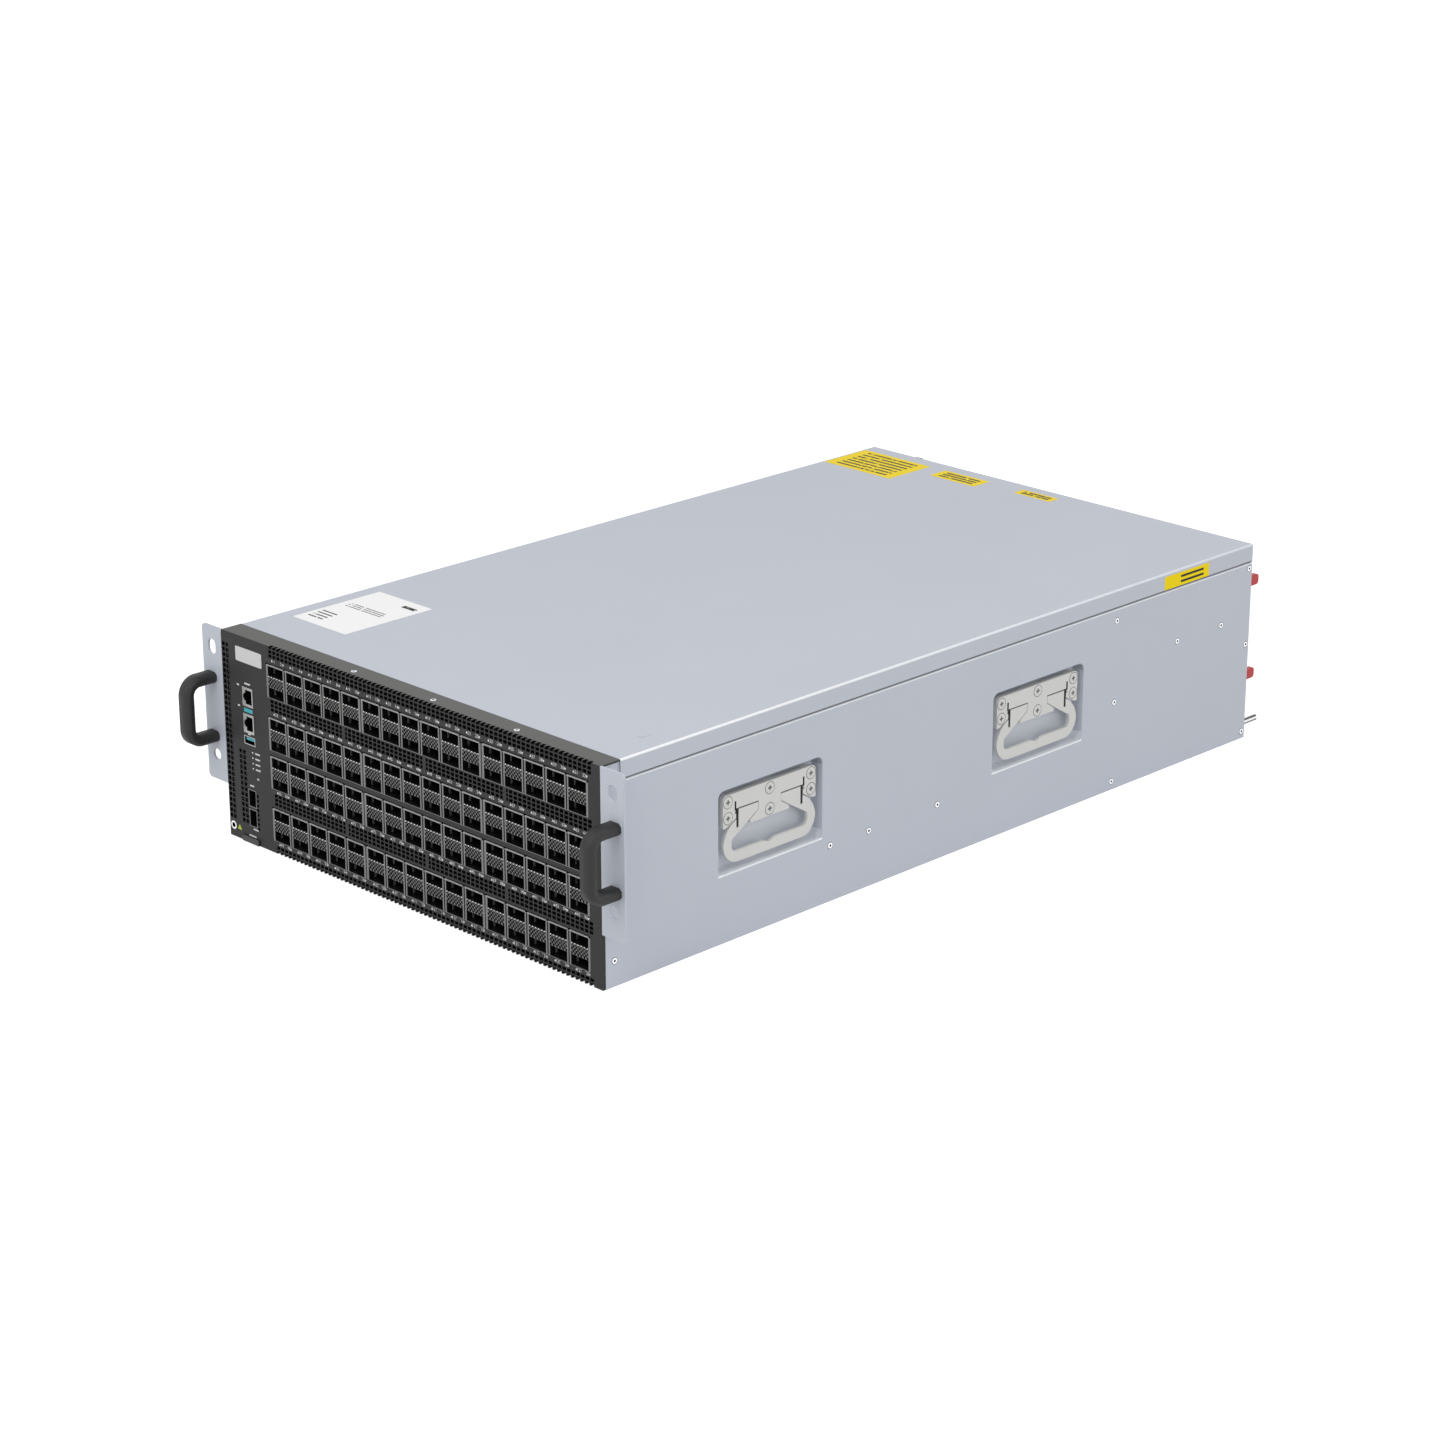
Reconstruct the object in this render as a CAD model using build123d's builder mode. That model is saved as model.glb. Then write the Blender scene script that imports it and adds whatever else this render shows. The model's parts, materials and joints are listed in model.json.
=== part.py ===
"""A four-unit rack ethernet switch: sheet metal chassis, perforated front with 128 stacked
ports, eight hot-swap fan modules, four power supplies, rack ears and folding carry handles.

Millimetres. The origin is the middle of the underside, +X is right and +Y is rearwards
for someone who faces the ports, and +Z is up.
"""
import os
from math import cos, pi, radians, sin, sqrt

from build123d import *

os.makedirs("parts", exist_ok=True)

# Chassis
WIDTH = 440.0
DEPTH = 762.0
HEIGHT = 175.0
SHEET = 1.2
FIT = 0.3
BEZEL_SHEET = 1.5
BEZEL_FLANGE = 20.0
BEZEL_RETURN = 3.0
BEZEL_BEND = 0.9
LID_BEND = 0.95
SKIRT_HEIGHT = 15.5

# Stacked ports
PORT_WIDTH = 18.8
PORT_HEIGHT = 8.5
SPACER_HEIGHT = 9.2
PORT_PITCH = 23.0
GANGS = (5, 6, 5)
GANG_GAP = 1.2
PORTS_CENTRE_X = 21.9
PORT_DEPTH = 42.0
CONNECTOR_DEPTH = 20.0
CAGE_SHEET = 0.5
BOARD_PLANE_Z = 84.9
MIDDLE_GAP = 6.3
OUTER_GAP = 18.1
LIP_HEIGHT = 1.4
LIP_REACH = 0.8
LIP_NOTCH = 2.4

# Management column
MANAGEMENT_X = -188.7
JACK_WIDTH = 13.1
JACK_HEIGHT = 16.2
JACK_DEPTH = 21.0
JACK_CAVITY_DEPTH = 14.0
JACK_ZS = (125.4, 103.0)
JACK_PROUD = 0.3
JACK_MOUTH = (7.8, 11.8)
JACK_MOUTH_OFFSET = 1.3
JACK_KEY = (1.9, 6.5)
JACK_KEY_OFFSET = -3.5
JACK_LATCH = (1.1, 3.6)
JACK_LATCH_OFFSET = -5.0
USB_WIDTH = 14.0
USB_HEIGHT = 7.2
USB_DEPTH = 18.0
USB_WALL = 0.7
USB_CAVITY_DEPTH = 9.0
USB_Z = 88.6
USB_TONGUE_WIDTH = 10.6
USB_TONGUE_THICKNESS = 1.9
USB_TONGUE_LENGTH = 8.0
USB_TONGUE_RISE = 0.9
SFP_WIDTH = 8.7
SFP_HEIGHT = 13.8
SFP_WALL = 0.7
SFP_DEPTH = 48.0
SFP_CAVITY_DEPTH = 42.0
SFP_ZS = (39.4, 22.5)
ESD_X = -214.0
ESD_Z = 10.4
ESD_RADIUS = 3.5
ESD_BORE_RADIUS = 2.1
ESD_LENGTH = 14.0
ESD_PROUD = 0.8
TAG_X = -192.0
TAG_WIDTH = 18.0
TAG_LENGTH = 70.0
TAG_THICKNESS = 1.2
TAG_LIP_WIDTH = 20.4
TAG_LIP_HEIGHT = 5.0
TAG_LIP_THICKNESS = 1.2
TAG_LIP_Z = 0.6

# Rack ears and their loop handles
RACK_HOLE_SPACING = 465.1
EAR_OVERALL = 489.0
EAR_SHEET = 2.0
EAR_BOTTOM_Z = 44.5
EAR_FLANGE = 24.0
EAR_FLANGE_TOP_Z = 158.0
EAR_CORNER = 3.5
RACK_HOLE_RADIUS = 4.75
RACK_HOLE_Z = 66.1
RACK_SLOT_Z = 157.6
RACK_SLOT_LENGTH = 13.2
GRIP_X = 234.6
GRIP_LEG_SPACING = 50.0
GRIP_MIDDLE_Z = 107.0
GRIP_REACH = 26.0
GRIP_WIDTH = 13.4
GRIP_THICKNESS = 9.0
GRIP_BEND = 11.0
GRIP_BEVEL = 2.4

# Side pockets, brackets and folding carry handles
POCKET_LENGTH = 112.0
POCKET_HEIGHT = 67.5
POCKET_CORNER = 6.0
POCKET_DEPTH = 11.0
POCKET_TAPER = 7.0
POCKET_CENTRE_Z = 88.8
POCKET_SETBACKS = (174.7, 484.0)
BRACKET_INSET = 1.2
BRACKET_THICKNESS = 4.0
BAIL_THICKNESS = 2.6
BAIL_AXIS_INSET = 2.8
BAIL_AXIS_RISE = 13.5
BAIL_PIN_RADIUS = 1.1
PIN_CLEARANCE = 0.05
PIN_SEAT = 2.6
HINGE_GAP = 0.4
BAIL_HALF_LENGTH = 49.4
BAIL_HALF_REACH = 12.3
BAIL_ROOT_END = 33.2
BRACKET_HALF_LENGTH = 49.7
RELIEF_WIDTH = 2.4
BRACKET_TOP = 28.2
BRACKET_FOOT = 0.2
LOBE_FOOT = 2.4
SLANT_RISE = 8.6
SLANT_FOOT = 2.8
SLANT_RUN = 9.0
RELIEF_TOP = 21.6
LOBE_CORNER = 3.0
PAD_INSET = 2.0
GRIP_FOOT = -27.1
GRIP_TOP = -18.4
DIP_DEPTH = 2.4
DIP_HALF = 7.0
ARM_INNER = 40.8
HOLLOW_CORNER = 5.0
NOTCH_FOOT = 0.0
ARM_BEND = (45.0, -0.4)
ARM_WAIST = -11.5
FOOT_BEND = (45.6, -21.7)
FOOT_END = 34.8
BRACKET_CORNER = 4.0
LOBE_TOP_DROP = 5.6
RELIEF_STEP_DROP = 1.9
ROOT_WINDOW_RISE = 2.1
ROOT_RISE = 1.0
ARM_TIP_DROP = 6.9

# Boards, chip and heat sink
MAIN_BOARD_THICKNESS = 4.4
MAIN_BOARD_LENGTH = 520.0
PORT_BOARD_THICKNESS = 3.0
PORT_BOARD_LENGTH = 130.0
SIDE_BOARD_THICKNESS = 1.6
SIDE_BOARD_LENGTH = 90.0
BOARD_SETBACK = 5.0
CHIP_SIZE = 90.0
CHIP_THICKNESS = 5.0
CHIP_CHAMFER = 1.2
CHIP_SETBACK = 330.0
SINK_WIDTH = 240.0
SINK_LENGTH = 190.0
SINK_BASE = 6.0
SINK_HEIGHT = 70.0
FIN_COUNT = 21
FIN_THICKNESS = 1.4

# Rear frame and its bays
FRAME_SHEET = 1.2
FRAME_SEAM = 0.1
FAN_WIDTH = 84.7
FAN_DEPTH = 96.0
FAN_COLUMNS = 4
FAN_ROWS = 2
SUPPLY_WIDTH = 73.5
SUPPLY_DEPTH = 195.0
SUPPLY_COUNT = 4
BAY_CLEARANCE = 0.4
BAY_BACK_GAP = 4.0
FAN_BOARD_THICKNESS = 2.4

# Fan module
DUCT_RADIUS = 39.5
DUCT_SIDES = 32
GUARD_THICKNESS = 2.0
GUARD_RADIUS = 37.5
GUARD_SLOT = 6.4
GUARD_PITCH = 9.2
GUARD_HUB_RADIUS = 15.0
HUB_RADIUS = 17.0
HUB_LENGTH = 30.0
HUB_CHAMFER = 2.8
HUB_SIDES = 24
ROTOR_GAP = 1.0
SHAFT_RADIUS = 2.0
SHAFT_CLEARANCE = 0.05
SHAFT_SEAT = 3.0
BLADE_COUNT = 7
BLADE_ROOT = 13.6
BLADE_CHORD = 30.0
BLADE_THICKNESS = 1.4
BLADE_CAMBER = 3.5
BLADE_FOLD = 6.0
BLADE_PITCH = 38.0
TAB_OFFSET_X = 24.0
TAB_REACH = 30.0
TAB_HEIGHT = 26.0
TAB_THICKNESS = 3.0
TAB_CORNER = 8.0
LATCH_OFFSET_X = 36.4
LATCH_OFFSET_Z = 1.8
LATCH_REACH = 36.0
LATCH_HEIGHT = 9.4
LATCH_THICKNESS = 4.0
LATCH_CORNER = 3.0
LATCH_PIVOT_REACH = 3.4
LATCH_PIN_RADIUS = 1.1
LUG_THICKNESS = 2.4
LUG_RADIUS = 2.6
LUG_SIDES = 8

# Power supply
LOOP_OFFSET_X = -15.0
LOOP_REACH = 40.0
LOOP_HEIGHT = 23.0
LOOP_BAR = 5.0
LOOP_CORNER = 8.0
INLET_OFFSET_X = 19.5
INLET_WIDTH = 27.0
INLET_HEIGHT = 19.0
INLET_DEPTH = 18.0
INLET_CORNER = 3.0
PIN_BLADE_WIDTH = 2.0
PIN_BLADE_HEIGHT = 4.0
PIN_BLADE_LENGTH = 14.0
PIN_BLADE_SPREAD = 7.0
VENT_SLOT_WIDTH = 2.4
VENT_SLOT_HEIGHT = 26.0
VENT_SLOT_PITCH = 4.2
VENT_SLOT_COUNT = 3
VENT_OFFSET_X = -2.0
VENT_SLOT_DEPTH = 12.0
RELEASE_OFFSET_X = -30.0
RELEASE_REACH = 22.0
RELEASE_HEIGHT = 8.0

# Ground stud
STUD_X = 211.1
STUD_Z = 9.8
STUD_RADIUS = 3.0
STUD_REACH = 26.5
STUD_SEAT = 10.0
STUD_CHAMFER = 0.75
NUT_WIDTH = 10.0
NUT_THICKNESS = 5.0

# Places worked out from the sizes above
FRONT = -DEPTH / 2
REAR = DEPTH / 2
HALF = WIDTH / 2
CAGE_HEIGHT = 2 * PORT_HEIGHT + SPACER_HEIGHT
DIVIDER = PORT_PITCH - PORT_WIDTH
PORTS_SPAN = sum(GANGS) * PORT_PITCH - DIVIDER + (len(GANGS) - 1) * GANG_GAP
TRAY_FRONT = FRONT + BEZEL_RETURN + FIT
LID_FRONT = FRONT + BEZEL_FLANGE + FIT
CAGE_DEPTH = PORT_DEPTH + CONNECTOR_DEPTH
ROW_BOTTOMS = (
    BOARD_PLANE_Z + MIDDLE_GAP / 2 + CAGE_HEIGHT + OUTER_GAP,
    BOARD_PLANE_Z + MIDDLE_GAP / 2,
    BOARD_PLANE_Z - MIDDLE_GAP / 2 - CAGE_HEIGHT,
    BOARD_PLANE_Z - MIDDLE_GAP / 2 - 2 * CAGE_HEIGHT - OUTER_GAP,
)
POCKET_YS = tuple(FRONT + setback for setback in POCKET_SETBACKS)
JOGGLE = SHEET + FIT
FRAME_RIGHT = HALF - JOGGLE - SHEET - FIT
FRAME_LEFT = -FRAME_RIGHT
FRAME_BOTTOM = SHEET + FIT
FRAME_TOP = HEIGHT - SHEET - FIT
SUPPLY_BAY_WIDTH = SUPPLY_WIDTH + 2 * BAY_CLEARANCE
FAN_BAY_WIDTH = FAN_WIDTH + 2 * BAY_CLEARANCE
BAY_STACK = FRAME_TOP - FRAME_BOTTOM - 2 * FRAME_SHEET
FAN_BAY_HEIGHT = (BAY_STACK - (FAN_ROWS - 1) * FRAME_SHEET) / FAN_ROWS
SUPPLY_BAY_HEIGHT = (BAY_STACK - (SUPPLY_COUNT - 1) * FRAME_SHEET) / SUPPLY_COUNT
FAN_HEIGHT = FAN_BAY_HEIGHT - 2 * BAY_CLEARANCE
SUPPLY_HEIGHT = SUPPLY_BAY_HEIGHT - 2 * BAY_CLEARANCE
SUPPLY_X = FRAME_LEFT + FRAME_SHEET + SUPPLY_BAY_WIDTH / 2
FIRST_FAN_X = SUPPLY_X + SUPPLY_BAY_WIDTH / 2 + FRAME_SHEET + FAN_BAY_WIDTH / 2
FAN_FRAME_FRONT = REAR - FAN_DEPTH - BAY_BACK_GAP
SUPPLY_FRAME_FRONT = REAR - SUPPLY_DEPTH - BAY_BACK_GAP
BOARD_HALF = HALF - POCKET_DEPTH - SHEET - FIT


def front_on(y):
    """A plane across the chassis at y, seen from the ports: a negative extrusion runs rearwards."""
    return Plane.XZ.offset(-y)


def beside(side, y, z):
    """A plane on the outer face of a side wall, its normal pointing out and local Y up."""
    return Plane(origin=(side * HALF, y, z), x_dir=(0, side, 0), z_dir=(side, 0, 0))


def save(builder, name):
    builder.part.label = name
    export_step(builder.part, f"parts/{name}.step")


def gang_spans():
    """Left opening edge and port count of each ganged cage, from left to right."""
    spans = []
    left = PORTS_CENTRE_X - PORTS_SPAN / 2
    for count in GANGS:
        spans.append((left, count))
        left += count * PORT_PITCH + GANG_GAP
    return spans


def gang_width(count):
    return count * PORT_PITCH


def column_centres():
    """Middle of every port column."""
    return [left + PORT_WIDTH / 2 + n * PORT_PITCH for left, count in gang_spans() for n in range(count)]


def fan_places():
    """Middle of each fan bay, top row first, left to right."""
    places = []
    for row in reversed(range(FAN_ROWS)):
        z = FRAME_BOTTOM + FRAME_SHEET + FAN_BAY_HEIGHT / 2 + row * (FAN_BAY_HEIGHT + FRAME_SHEET)
        for column in range(FAN_COLUMNS):
            places.append((FIRST_FAN_X + column * (FAN_BAY_WIDTH + FRAME_SHEET), z))
    return places


def supply_places():
    """Middle of each power supply bay, from the top down."""
    first = FRAME_BOTTOM + FRAME_SHEET + SUPPLY_BAY_HEIGHT / 2
    step = SUPPLY_BAY_HEIGHT + FRAME_SHEET
    return [(SUPPLY_X, first + n * step) for n in reversed(range(SUPPLY_COUNT))]


# Base tray: floor and joggled side walls in one folded sheet, with four pressed pockets
JOGGLE_Z = HEIGHT - SKIRT_HEIGHT - FIT
WALL_TOP = HEIGHT - SHEET - FIT
with BuildPart() as base_tray:
    with BuildSketch(front_on(TRAY_FRONT)):
        with BuildLine():
            Polyline(
                (0, 0),
                (HALF, 0),
                (HALF, JOGGLE_Z - JOGGLE),
                (HALF - JOGGLE, JOGGLE_Z),
                (HALF - JOGGLE, WALL_TOP),
                (HALF - JOGGLE - SHEET, WALL_TOP),
                (HALF - JOGGLE - SHEET, JOGGLE_Z),
                (HALF - SHEET, JOGGLE_Z - JOGGLE),
                (HALF - SHEET, SHEET),
                (0, SHEET),
                close=True,
            )
        make_face()
    extrude(amount=-(REAR - TRAY_FRONT))
    with BuildSketch(Plane.XY):
        with Locations((0, TRAY_FRONT)):
            Rectangle(HALF - SHEET, LID_FRONT - TRAY_FRONT, align=(Align.MIN, Align.MIN))
    extrude(amount=BEZEL_SHEET + FIT, mode=Mode.SUBTRACT)
    for pocket_y in POCKET_YS:
        wall = beside(1, pocket_y, POCKET_CENTRE_Z)
        with BuildSketch(wall):
            RectangleRounded(
                POCKET_LENGTH + 2 * SHEET, POCKET_HEIGHT + 2 * SHEET, POCKET_CORNER + SHEET
            )
        extrude(amount=-POCKET_DEPTH - SHEET, taper=POCKET_TAPER)
        with BuildSketch(wall):
            RectangleRounded(POCKET_LENGTH, POCKET_HEIGHT, POCKET_CORNER)
        extrude(amount=-POCKET_DEPTH, taper=POCKET_TAPER, mode=Mode.SUBTRACT)
    mirror(about=Plane.YZ)
save(base_tray, "base_tray")

# Top cover: a flat lid with a skirt folded down over each side wall
with BuildPart() as top_cover:
    with BuildSketch(front_on(LID_FRONT)):
        with BuildLine():
            Polyline(
                (0, HEIGHT),
                (HALF, HEIGHT),
                (HALF, HEIGHT - SKIRT_HEIGHT),
                (HALF - SHEET, HEIGHT - SKIRT_HEIGHT),
                (HALF - SHEET, HEIGHT - SHEET),
                (0, HEIGHT - SHEET),
                close=True,
            )
        make_face()
    extrude(amount=-(REAR - LID_FRONT))
    mirror(about=Plane.YZ)
    fillet(
        top_cover.edges().filter_by(Axis.Y).group_by(Axis.Z)[-1].sort_by(Axis.X)[0:1]
        + top_cover.edges().filter_by(Axis.Y).group_by(Axis.Z)[-1].sort_by(Axis.X)[-1:],
        radius=LID_BEND,
    )
save(top_cover, "top_cover")

# Front bezel: a folded cover with a window for each ganged cage and each management port
BEZEL_HALF = HALF - FIT
GANG_OVERHANG = DIVIDER / 2 + FIT
with BuildPart() as front_bezel:
    with BuildSketch(Plane.YZ.offset(-BEZEL_HALF)):
        with Locations((FRONT, 0)):
            Rectangle(BEZEL_FLANGE, HEIGHT, align=(Align.MIN, Align.MIN))
        with Locations((FRONT + BEZEL_SHEET, BEZEL_SHEET)):
            Rectangle(
                BEZEL_FLANGE, HEIGHT - 2 * BEZEL_SHEET, align=(Align.MIN, Align.MIN), mode=Mode.SUBTRACT
            )
    extrude(amount=2 * BEZEL_HALF)
    with BuildSketch(Plane.XY):
        with Locations((BEZEL_HALF, FRONT), (-BEZEL_HALF + BEZEL_SHEET, FRONT)):
            Rectangle(BEZEL_SHEET, BEZEL_RETURN, align=(Align.MAX, Align.MIN))
    extrude(amount=HEIGHT)
    fillet(front_bezel.edges().filter_by(Axis.X).group_by(Axis.Y)[0], radius=BEZEL_BEND)
    with BuildSketch(front_on(FRONT)):
        for bottom in ROW_BOTTOMS:
            for left, count in gang_spans():
                with Locations((left - GANG_OVERHANG, bottom - CAGE_SHEET - FIT)):
                    Rectangle(
                        gang_width(count) + 2 * FIT,
                        CAGE_HEIGHT + 2 * CAGE_SHEET + LIP_HEIGHT + 2 * FIT,
                        align=(Align.MIN, Align.MIN),
                    )
        for jack_z in JACK_ZS:
            with Locations((MANAGEMENT_X, jack_z)):
                Rectangle(JACK_WIDTH + 2 * FIT, JACK_HEIGHT + 2 * FIT)
        with Locations((MANAGEMENT_X, USB_Z)):
            Rectangle(USB_WIDTH + 2 * FIT, USB_HEIGHT + 2 * FIT)
        for sfp_z in SFP_ZS:
            with Locations((MANAGEMENT_X, sfp_z)):
                Rectangle(SFP_WIDTH + 2 * SFP_WALL + 2 * FIT, SFP_HEIGHT + 2 * SFP_WALL + 2 * FIT)
        with Locations((ESD_X, ESD_Z)):
            Circle(ESD_RADIUS - BEZEL_SHEET / 2 + FIT)
        with Locations((TAG_X, BEZEL_SHEET + FIT + TAG_THICKNESS / 2)):
            Rectangle(TAG_WIDTH + 2 * FIT, TAG_THICKNESS + 2 * FIT)
    extrude(amount=-BEZEL_SHEET, mode=Mode.SUBTRACT)
    with BuildSketch(Plane.XY):
        for side in (-1, 1):
            with Locations((side * (HALF - SHEET / 2), (TRAY_FRONT + LID_FRONT) / 2 - FIT)):
                Rectangle(SHEET + 2 * FIT, LID_FRONT - TRAY_FRONT)
    extrude(amount=BEZEL_SHEET, mode=Mode.SUBTRACT)
save(front_bezel, "front_bezel")

# Rack ears: one folded angle on each side, flush with the front of the bezel
EAR_INNER = HALF
EAR_OUTER = EAR_OVERALL / 2
for side, ear_name in ((-1, "left_ear"), (1, "right_ear")):
    inner_edge, outer_edge = sorted((side * EAR_INNER, side * EAR_OUTER))
    with BuildPart() as ear:
        with BuildSketch(front_on(FRONT)):
            with Locations(((inner_edge + outer_edge) / 2, (EAR_BOTTOM_Z + HEIGHT) / 2)):
                Rectangle(outer_edge - inner_edge, HEIGHT - EAR_BOTTOM_Z)
        extrude(amount=-EAR_SHEET)
        outer_corners = ear.edges().filter_by(Axis.Y).group_by(Axis.X)[-1 if side > 0 else 0]
        fillet(outer_corners, radius=EAR_CORNER)
        with BuildSketch(Plane.XY.offset(EAR_BOTTOM_Z)):
            with Locations((side * (EAR_INNER + EAR_SHEET / 2), FRONT + EAR_FLANGE / 2)):
                Rectangle(EAR_SHEET, EAR_FLANGE)
        extrude(amount=EAR_FLANGE_TOP_Z - EAR_BOTTOM_Z)
        with BuildSketch(front_on(FRONT)):
            with Locations((side * RACK_HOLE_SPACING / 2, RACK_HOLE_Z)):
                Circle(RACK_HOLE_RADIUS)
            with Locations((side * RACK_HOLE_SPACING / 2, RACK_SLOT_Z)):
                SlotOverall(RACK_SLOT_LENGTH, 2 * RACK_HOLE_RADIUS, rotation=90)
        extrude(amount=-EAR_SHEET, mode=Mode.SUBTRACT)
    save(ear, ear_name)

# Ear handles: a flat bar with bevelled edges, bent into a loop, its legs standing on the ear
for side, grip_name in ((-1, "left_ear_handle"), (1, "right_ear_handle")):
    upper_z = GRIP_MIDDLE_Z + GRIP_LEG_SPACING / 2
    lower_z = GRIP_MIDDLE_Z - GRIP_LEG_SPACING / 2
    with BuildPart() as ear_handle:
        with BuildLine() as grip_path:
            FilletPolyline(
                (side * GRIP_X, FRONT, upper_z),
                (side * GRIP_X, FRONT - GRIP_REACH, upper_z),
                (side * GRIP_X, FRONT - GRIP_REACH, lower_z),
                (side * GRIP_X, FRONT, lower_z),
                radius=GRIP_BEND,
            )
        with BuildSketch(Plane(origin=grip_path.line @ 0, x_dir=(1, 0, 0), z_dir=grip_path.line % 0)):
            bar = Rectangle(GRIP_WIDTH, GRIP_THICKNESS)
            chamfer(bar.vertices(), length=GRIP_BEVEL)
        sweep(path=grip_path.line)
    save(ear_handle, grip_name)

# Ganged cages: top and bottom plates, upright dividers and the spacers between stacked ports
with BuildPart() as port_cage_plates:
    for bottom in ROW_BOTTOMS:
        for left, count in gang_spans():
            with BuildSketch(front_on(FRONT)):
                with Locations(
                    (left - DIVIDER / 2, bottom - CAGE_SHEET), (left - DIVIDER / 2, bottom + CAGE_HEIGHT)
                ):
                    Rectangle(gang_width(count), CAGE_SHEET, align=(Align.MIN, Align.MIN))
            extrude(amount=-CAGE_DEPTH)
save(port_cage_plates, "port_cage_plates")

with BuildPart() as port_cage_dividers:
    with BuildSketch(front_on(FRONT)):
        for bottom in ROW_BOTTOMS:
            for left, count in gang_spans():
                inner = [(left - DIVIDER / 2 + n * PORT_PITCH, bottom) for n in range(1, count)]
                with Locations(*inner):
                    Rectangle(DIVIDER, CAGE_HEIGHT, align=(Align.CENTER, Align.MIN))
                with Locations(
                    (left - DIVIDER / 4, bottom), (left + gang_width(count) - DIVIDER * 3 / 4, bottom)
                ):
                    Rectangle(DIVIDER / 2, CAGE_HEIGHT, align=(Align.CENTER, Align.MIN))
    extrude(amount=-CAGE_DEPTH)
save(port_cage_dividers, "port_cage_dividers")

with BuildPart() as port_spacers:
    with BuildSketch(front_on(FRONT)):
        with Locations(*[(x, bottom + CAGE_HEIGHT / 2) for bottom in ROW_BOTTOMS for x in column_centres()]):
            Rectangle(PORT_WIDTH, SPACER_HEIGHT)
    extrude(amount=-PORT_DEPTH)
save(port_spacers, "port_spacers")

with BuildPart() as port_connectors:
    with BuildSketch(front_on(FRONT + PORT_DEPTH)):
        with Locations(*[(x, bottom + CAGE_HEIGHT / 2) for bottom in ROW_BOTTOMS for x in column_centres()]):
            Rectangle(PORT_WIDTH, CAGE_HEIGHT)
    extrude(amount=-CONNECTOR_DEPTH)
save(port_connectors, "port_connectors")

# Shielding lips: a wedge of folded spring metal over each port column
with BuildPart() as shielding_lips:
    for bottom in ROW_BOTTOMS:
        foot = bottom + CAGE_HEIGHT + CAGE_SHEET
        with BuildSketch(Plane.YZ.offset(column_centres()[0] - (PORT_PITCH - LIP_NOTCH) / 2)):
            with BuildLine():
                Polyline(
                    (FRONT + BEZEL_SHEET, foot),
                    (FRONT - LIP_REACH, foot),
                    (FRONT - LIP_REACH, foot + LIP_HEIGHT / 3),
                    (FRONT + BEZEL_SHEET, foot + LIP_HEIGHT),
                    close=True,
                )
            make_face()
        first_lip = extrude(amount=PORT_PITCH - LIP_NOTCH, mode=Mode.PRIVATE)
        for x in column_centres():
            add(first_lip.moved(Location((x - column_centres()[0], 0, 0))))
save(shielding_lips, "shielding_lips")

# Management ports: two network jacks on their side, a USB port, two small cages, a ground jack
with BuildPart() as management_jacks:
    for jack_z in JACK_ZS:
        with BuildSketch(front_on(FRONT - JACK_PROUD)):
            with Locations((MANAGEMENT_X, jack_z)):
                Rectangle(JACK_WIDTH, JACK_HEIGHT)
        extrude(amount=-JACK_DEPTH)
        with BuildSketch(front_on(FRONT - JACK_PROUD)):
            for offset, size in (
                (JACK_MOUTH_OFFSET, JACK_MOUTH),
                (JACK_KEY_OFFSET, JACK_KEY),
                (JACK_LATCH_OFFSET, JACK_LATCH),
            ):
                with Locations((MANAGEMENT_X + offset, jack_z)):
                    Rectangle(*size)
        extrude(amount=-JACK_CAVITY_DEPTH, mode=Mode.SUBTRACT)
save(management_jacks, "management_jacks")

with BuildPart() as usb_port:
    with BuildSketch(front_on(FRONT)):
        with Locations((MANAGEMENT_X, USB_Z)):
            Rectangle(USB_WIDTH, USB_HEIGHT)
    extrude(amount=-USB_DEPTH)
    with BuildSketch(front_on(FRONT)):
        with Locations((MANAGEMENT_X, USB_Z)):
            Rectangle(USB_WIDTH - 2 * USB_WALL, USB_HEIGHT - 2 * USB_WALL)
    extrude(amount=-USB_CAVITY_DEPTH, mode=Mode.SUBTRACT)
    with BuildSketch(front_on(FRONT + USB_CAVITY_DEPTH - USB_TONGUE_LENGTH)):
        with Locations((MANAGEMENT_X, USB_Z + USB_TONGUE_RISE)):
            Rectangle(USB_TONGUE_WIDTH, USB_TONGUE_THICKNESS)
    extrude(amount=-USB_TONGUE_LENGTH)
save(usb_port, "usb_port")

with BuildPart() as sfp_cages:
    for sfp_z in SFP_ZS:
        with BuildSketch(front_on(FRONT)):
            with Locations((MANAGEMENT_X, sfp_z)):
                Rectangle(SFP_WIDTH + 2 * SFP_WALL, SFP_HEIGHT + 2 * SFP_WALL)
        extrude(amount=-SFP_DEPTH)
        with BuildSketch(front_on(FRONT)):
            with Locations((MANAGEMENT_X, sfp_z)):
                Rectangle(SFP_WIDTH, SFP_HEIGHT)
        extrude(amount=-SFP_CAVITY_DEPTH, mode=Mode.SUBTRACT)
save(sfp_cages, "sfp_cages")

with BuildPart() as esd_jack:
    with BuildSketch(front_on(FRONT - ESD_PROUD)):
        with Locations((ESD_X, ESD_Z)):
            Circle(ESD_RADIUS)
    extrude(amount=-ESD_PROUD)
    with BuildSketch(front_on(FRONT)):
        with Locations((ESD_X, ESD_Z)):
            Circle(ESD_RADIUS - BEZEL_SHEET / 2)
    extrude(amount=-(ESD_LENGTH - ESD_PROUD))
    with BuildSketch(front_on(FRONT - ESD_PROUD)):
        with Locations((ESD_X, ESD_Z)):
            Circle(ESD_BORE_RADIUS)
    extrude(amount=-ESD_LENGTH, mode=Mode.SUBTRACT)
save(esd_jack, "esd_jack")

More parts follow.
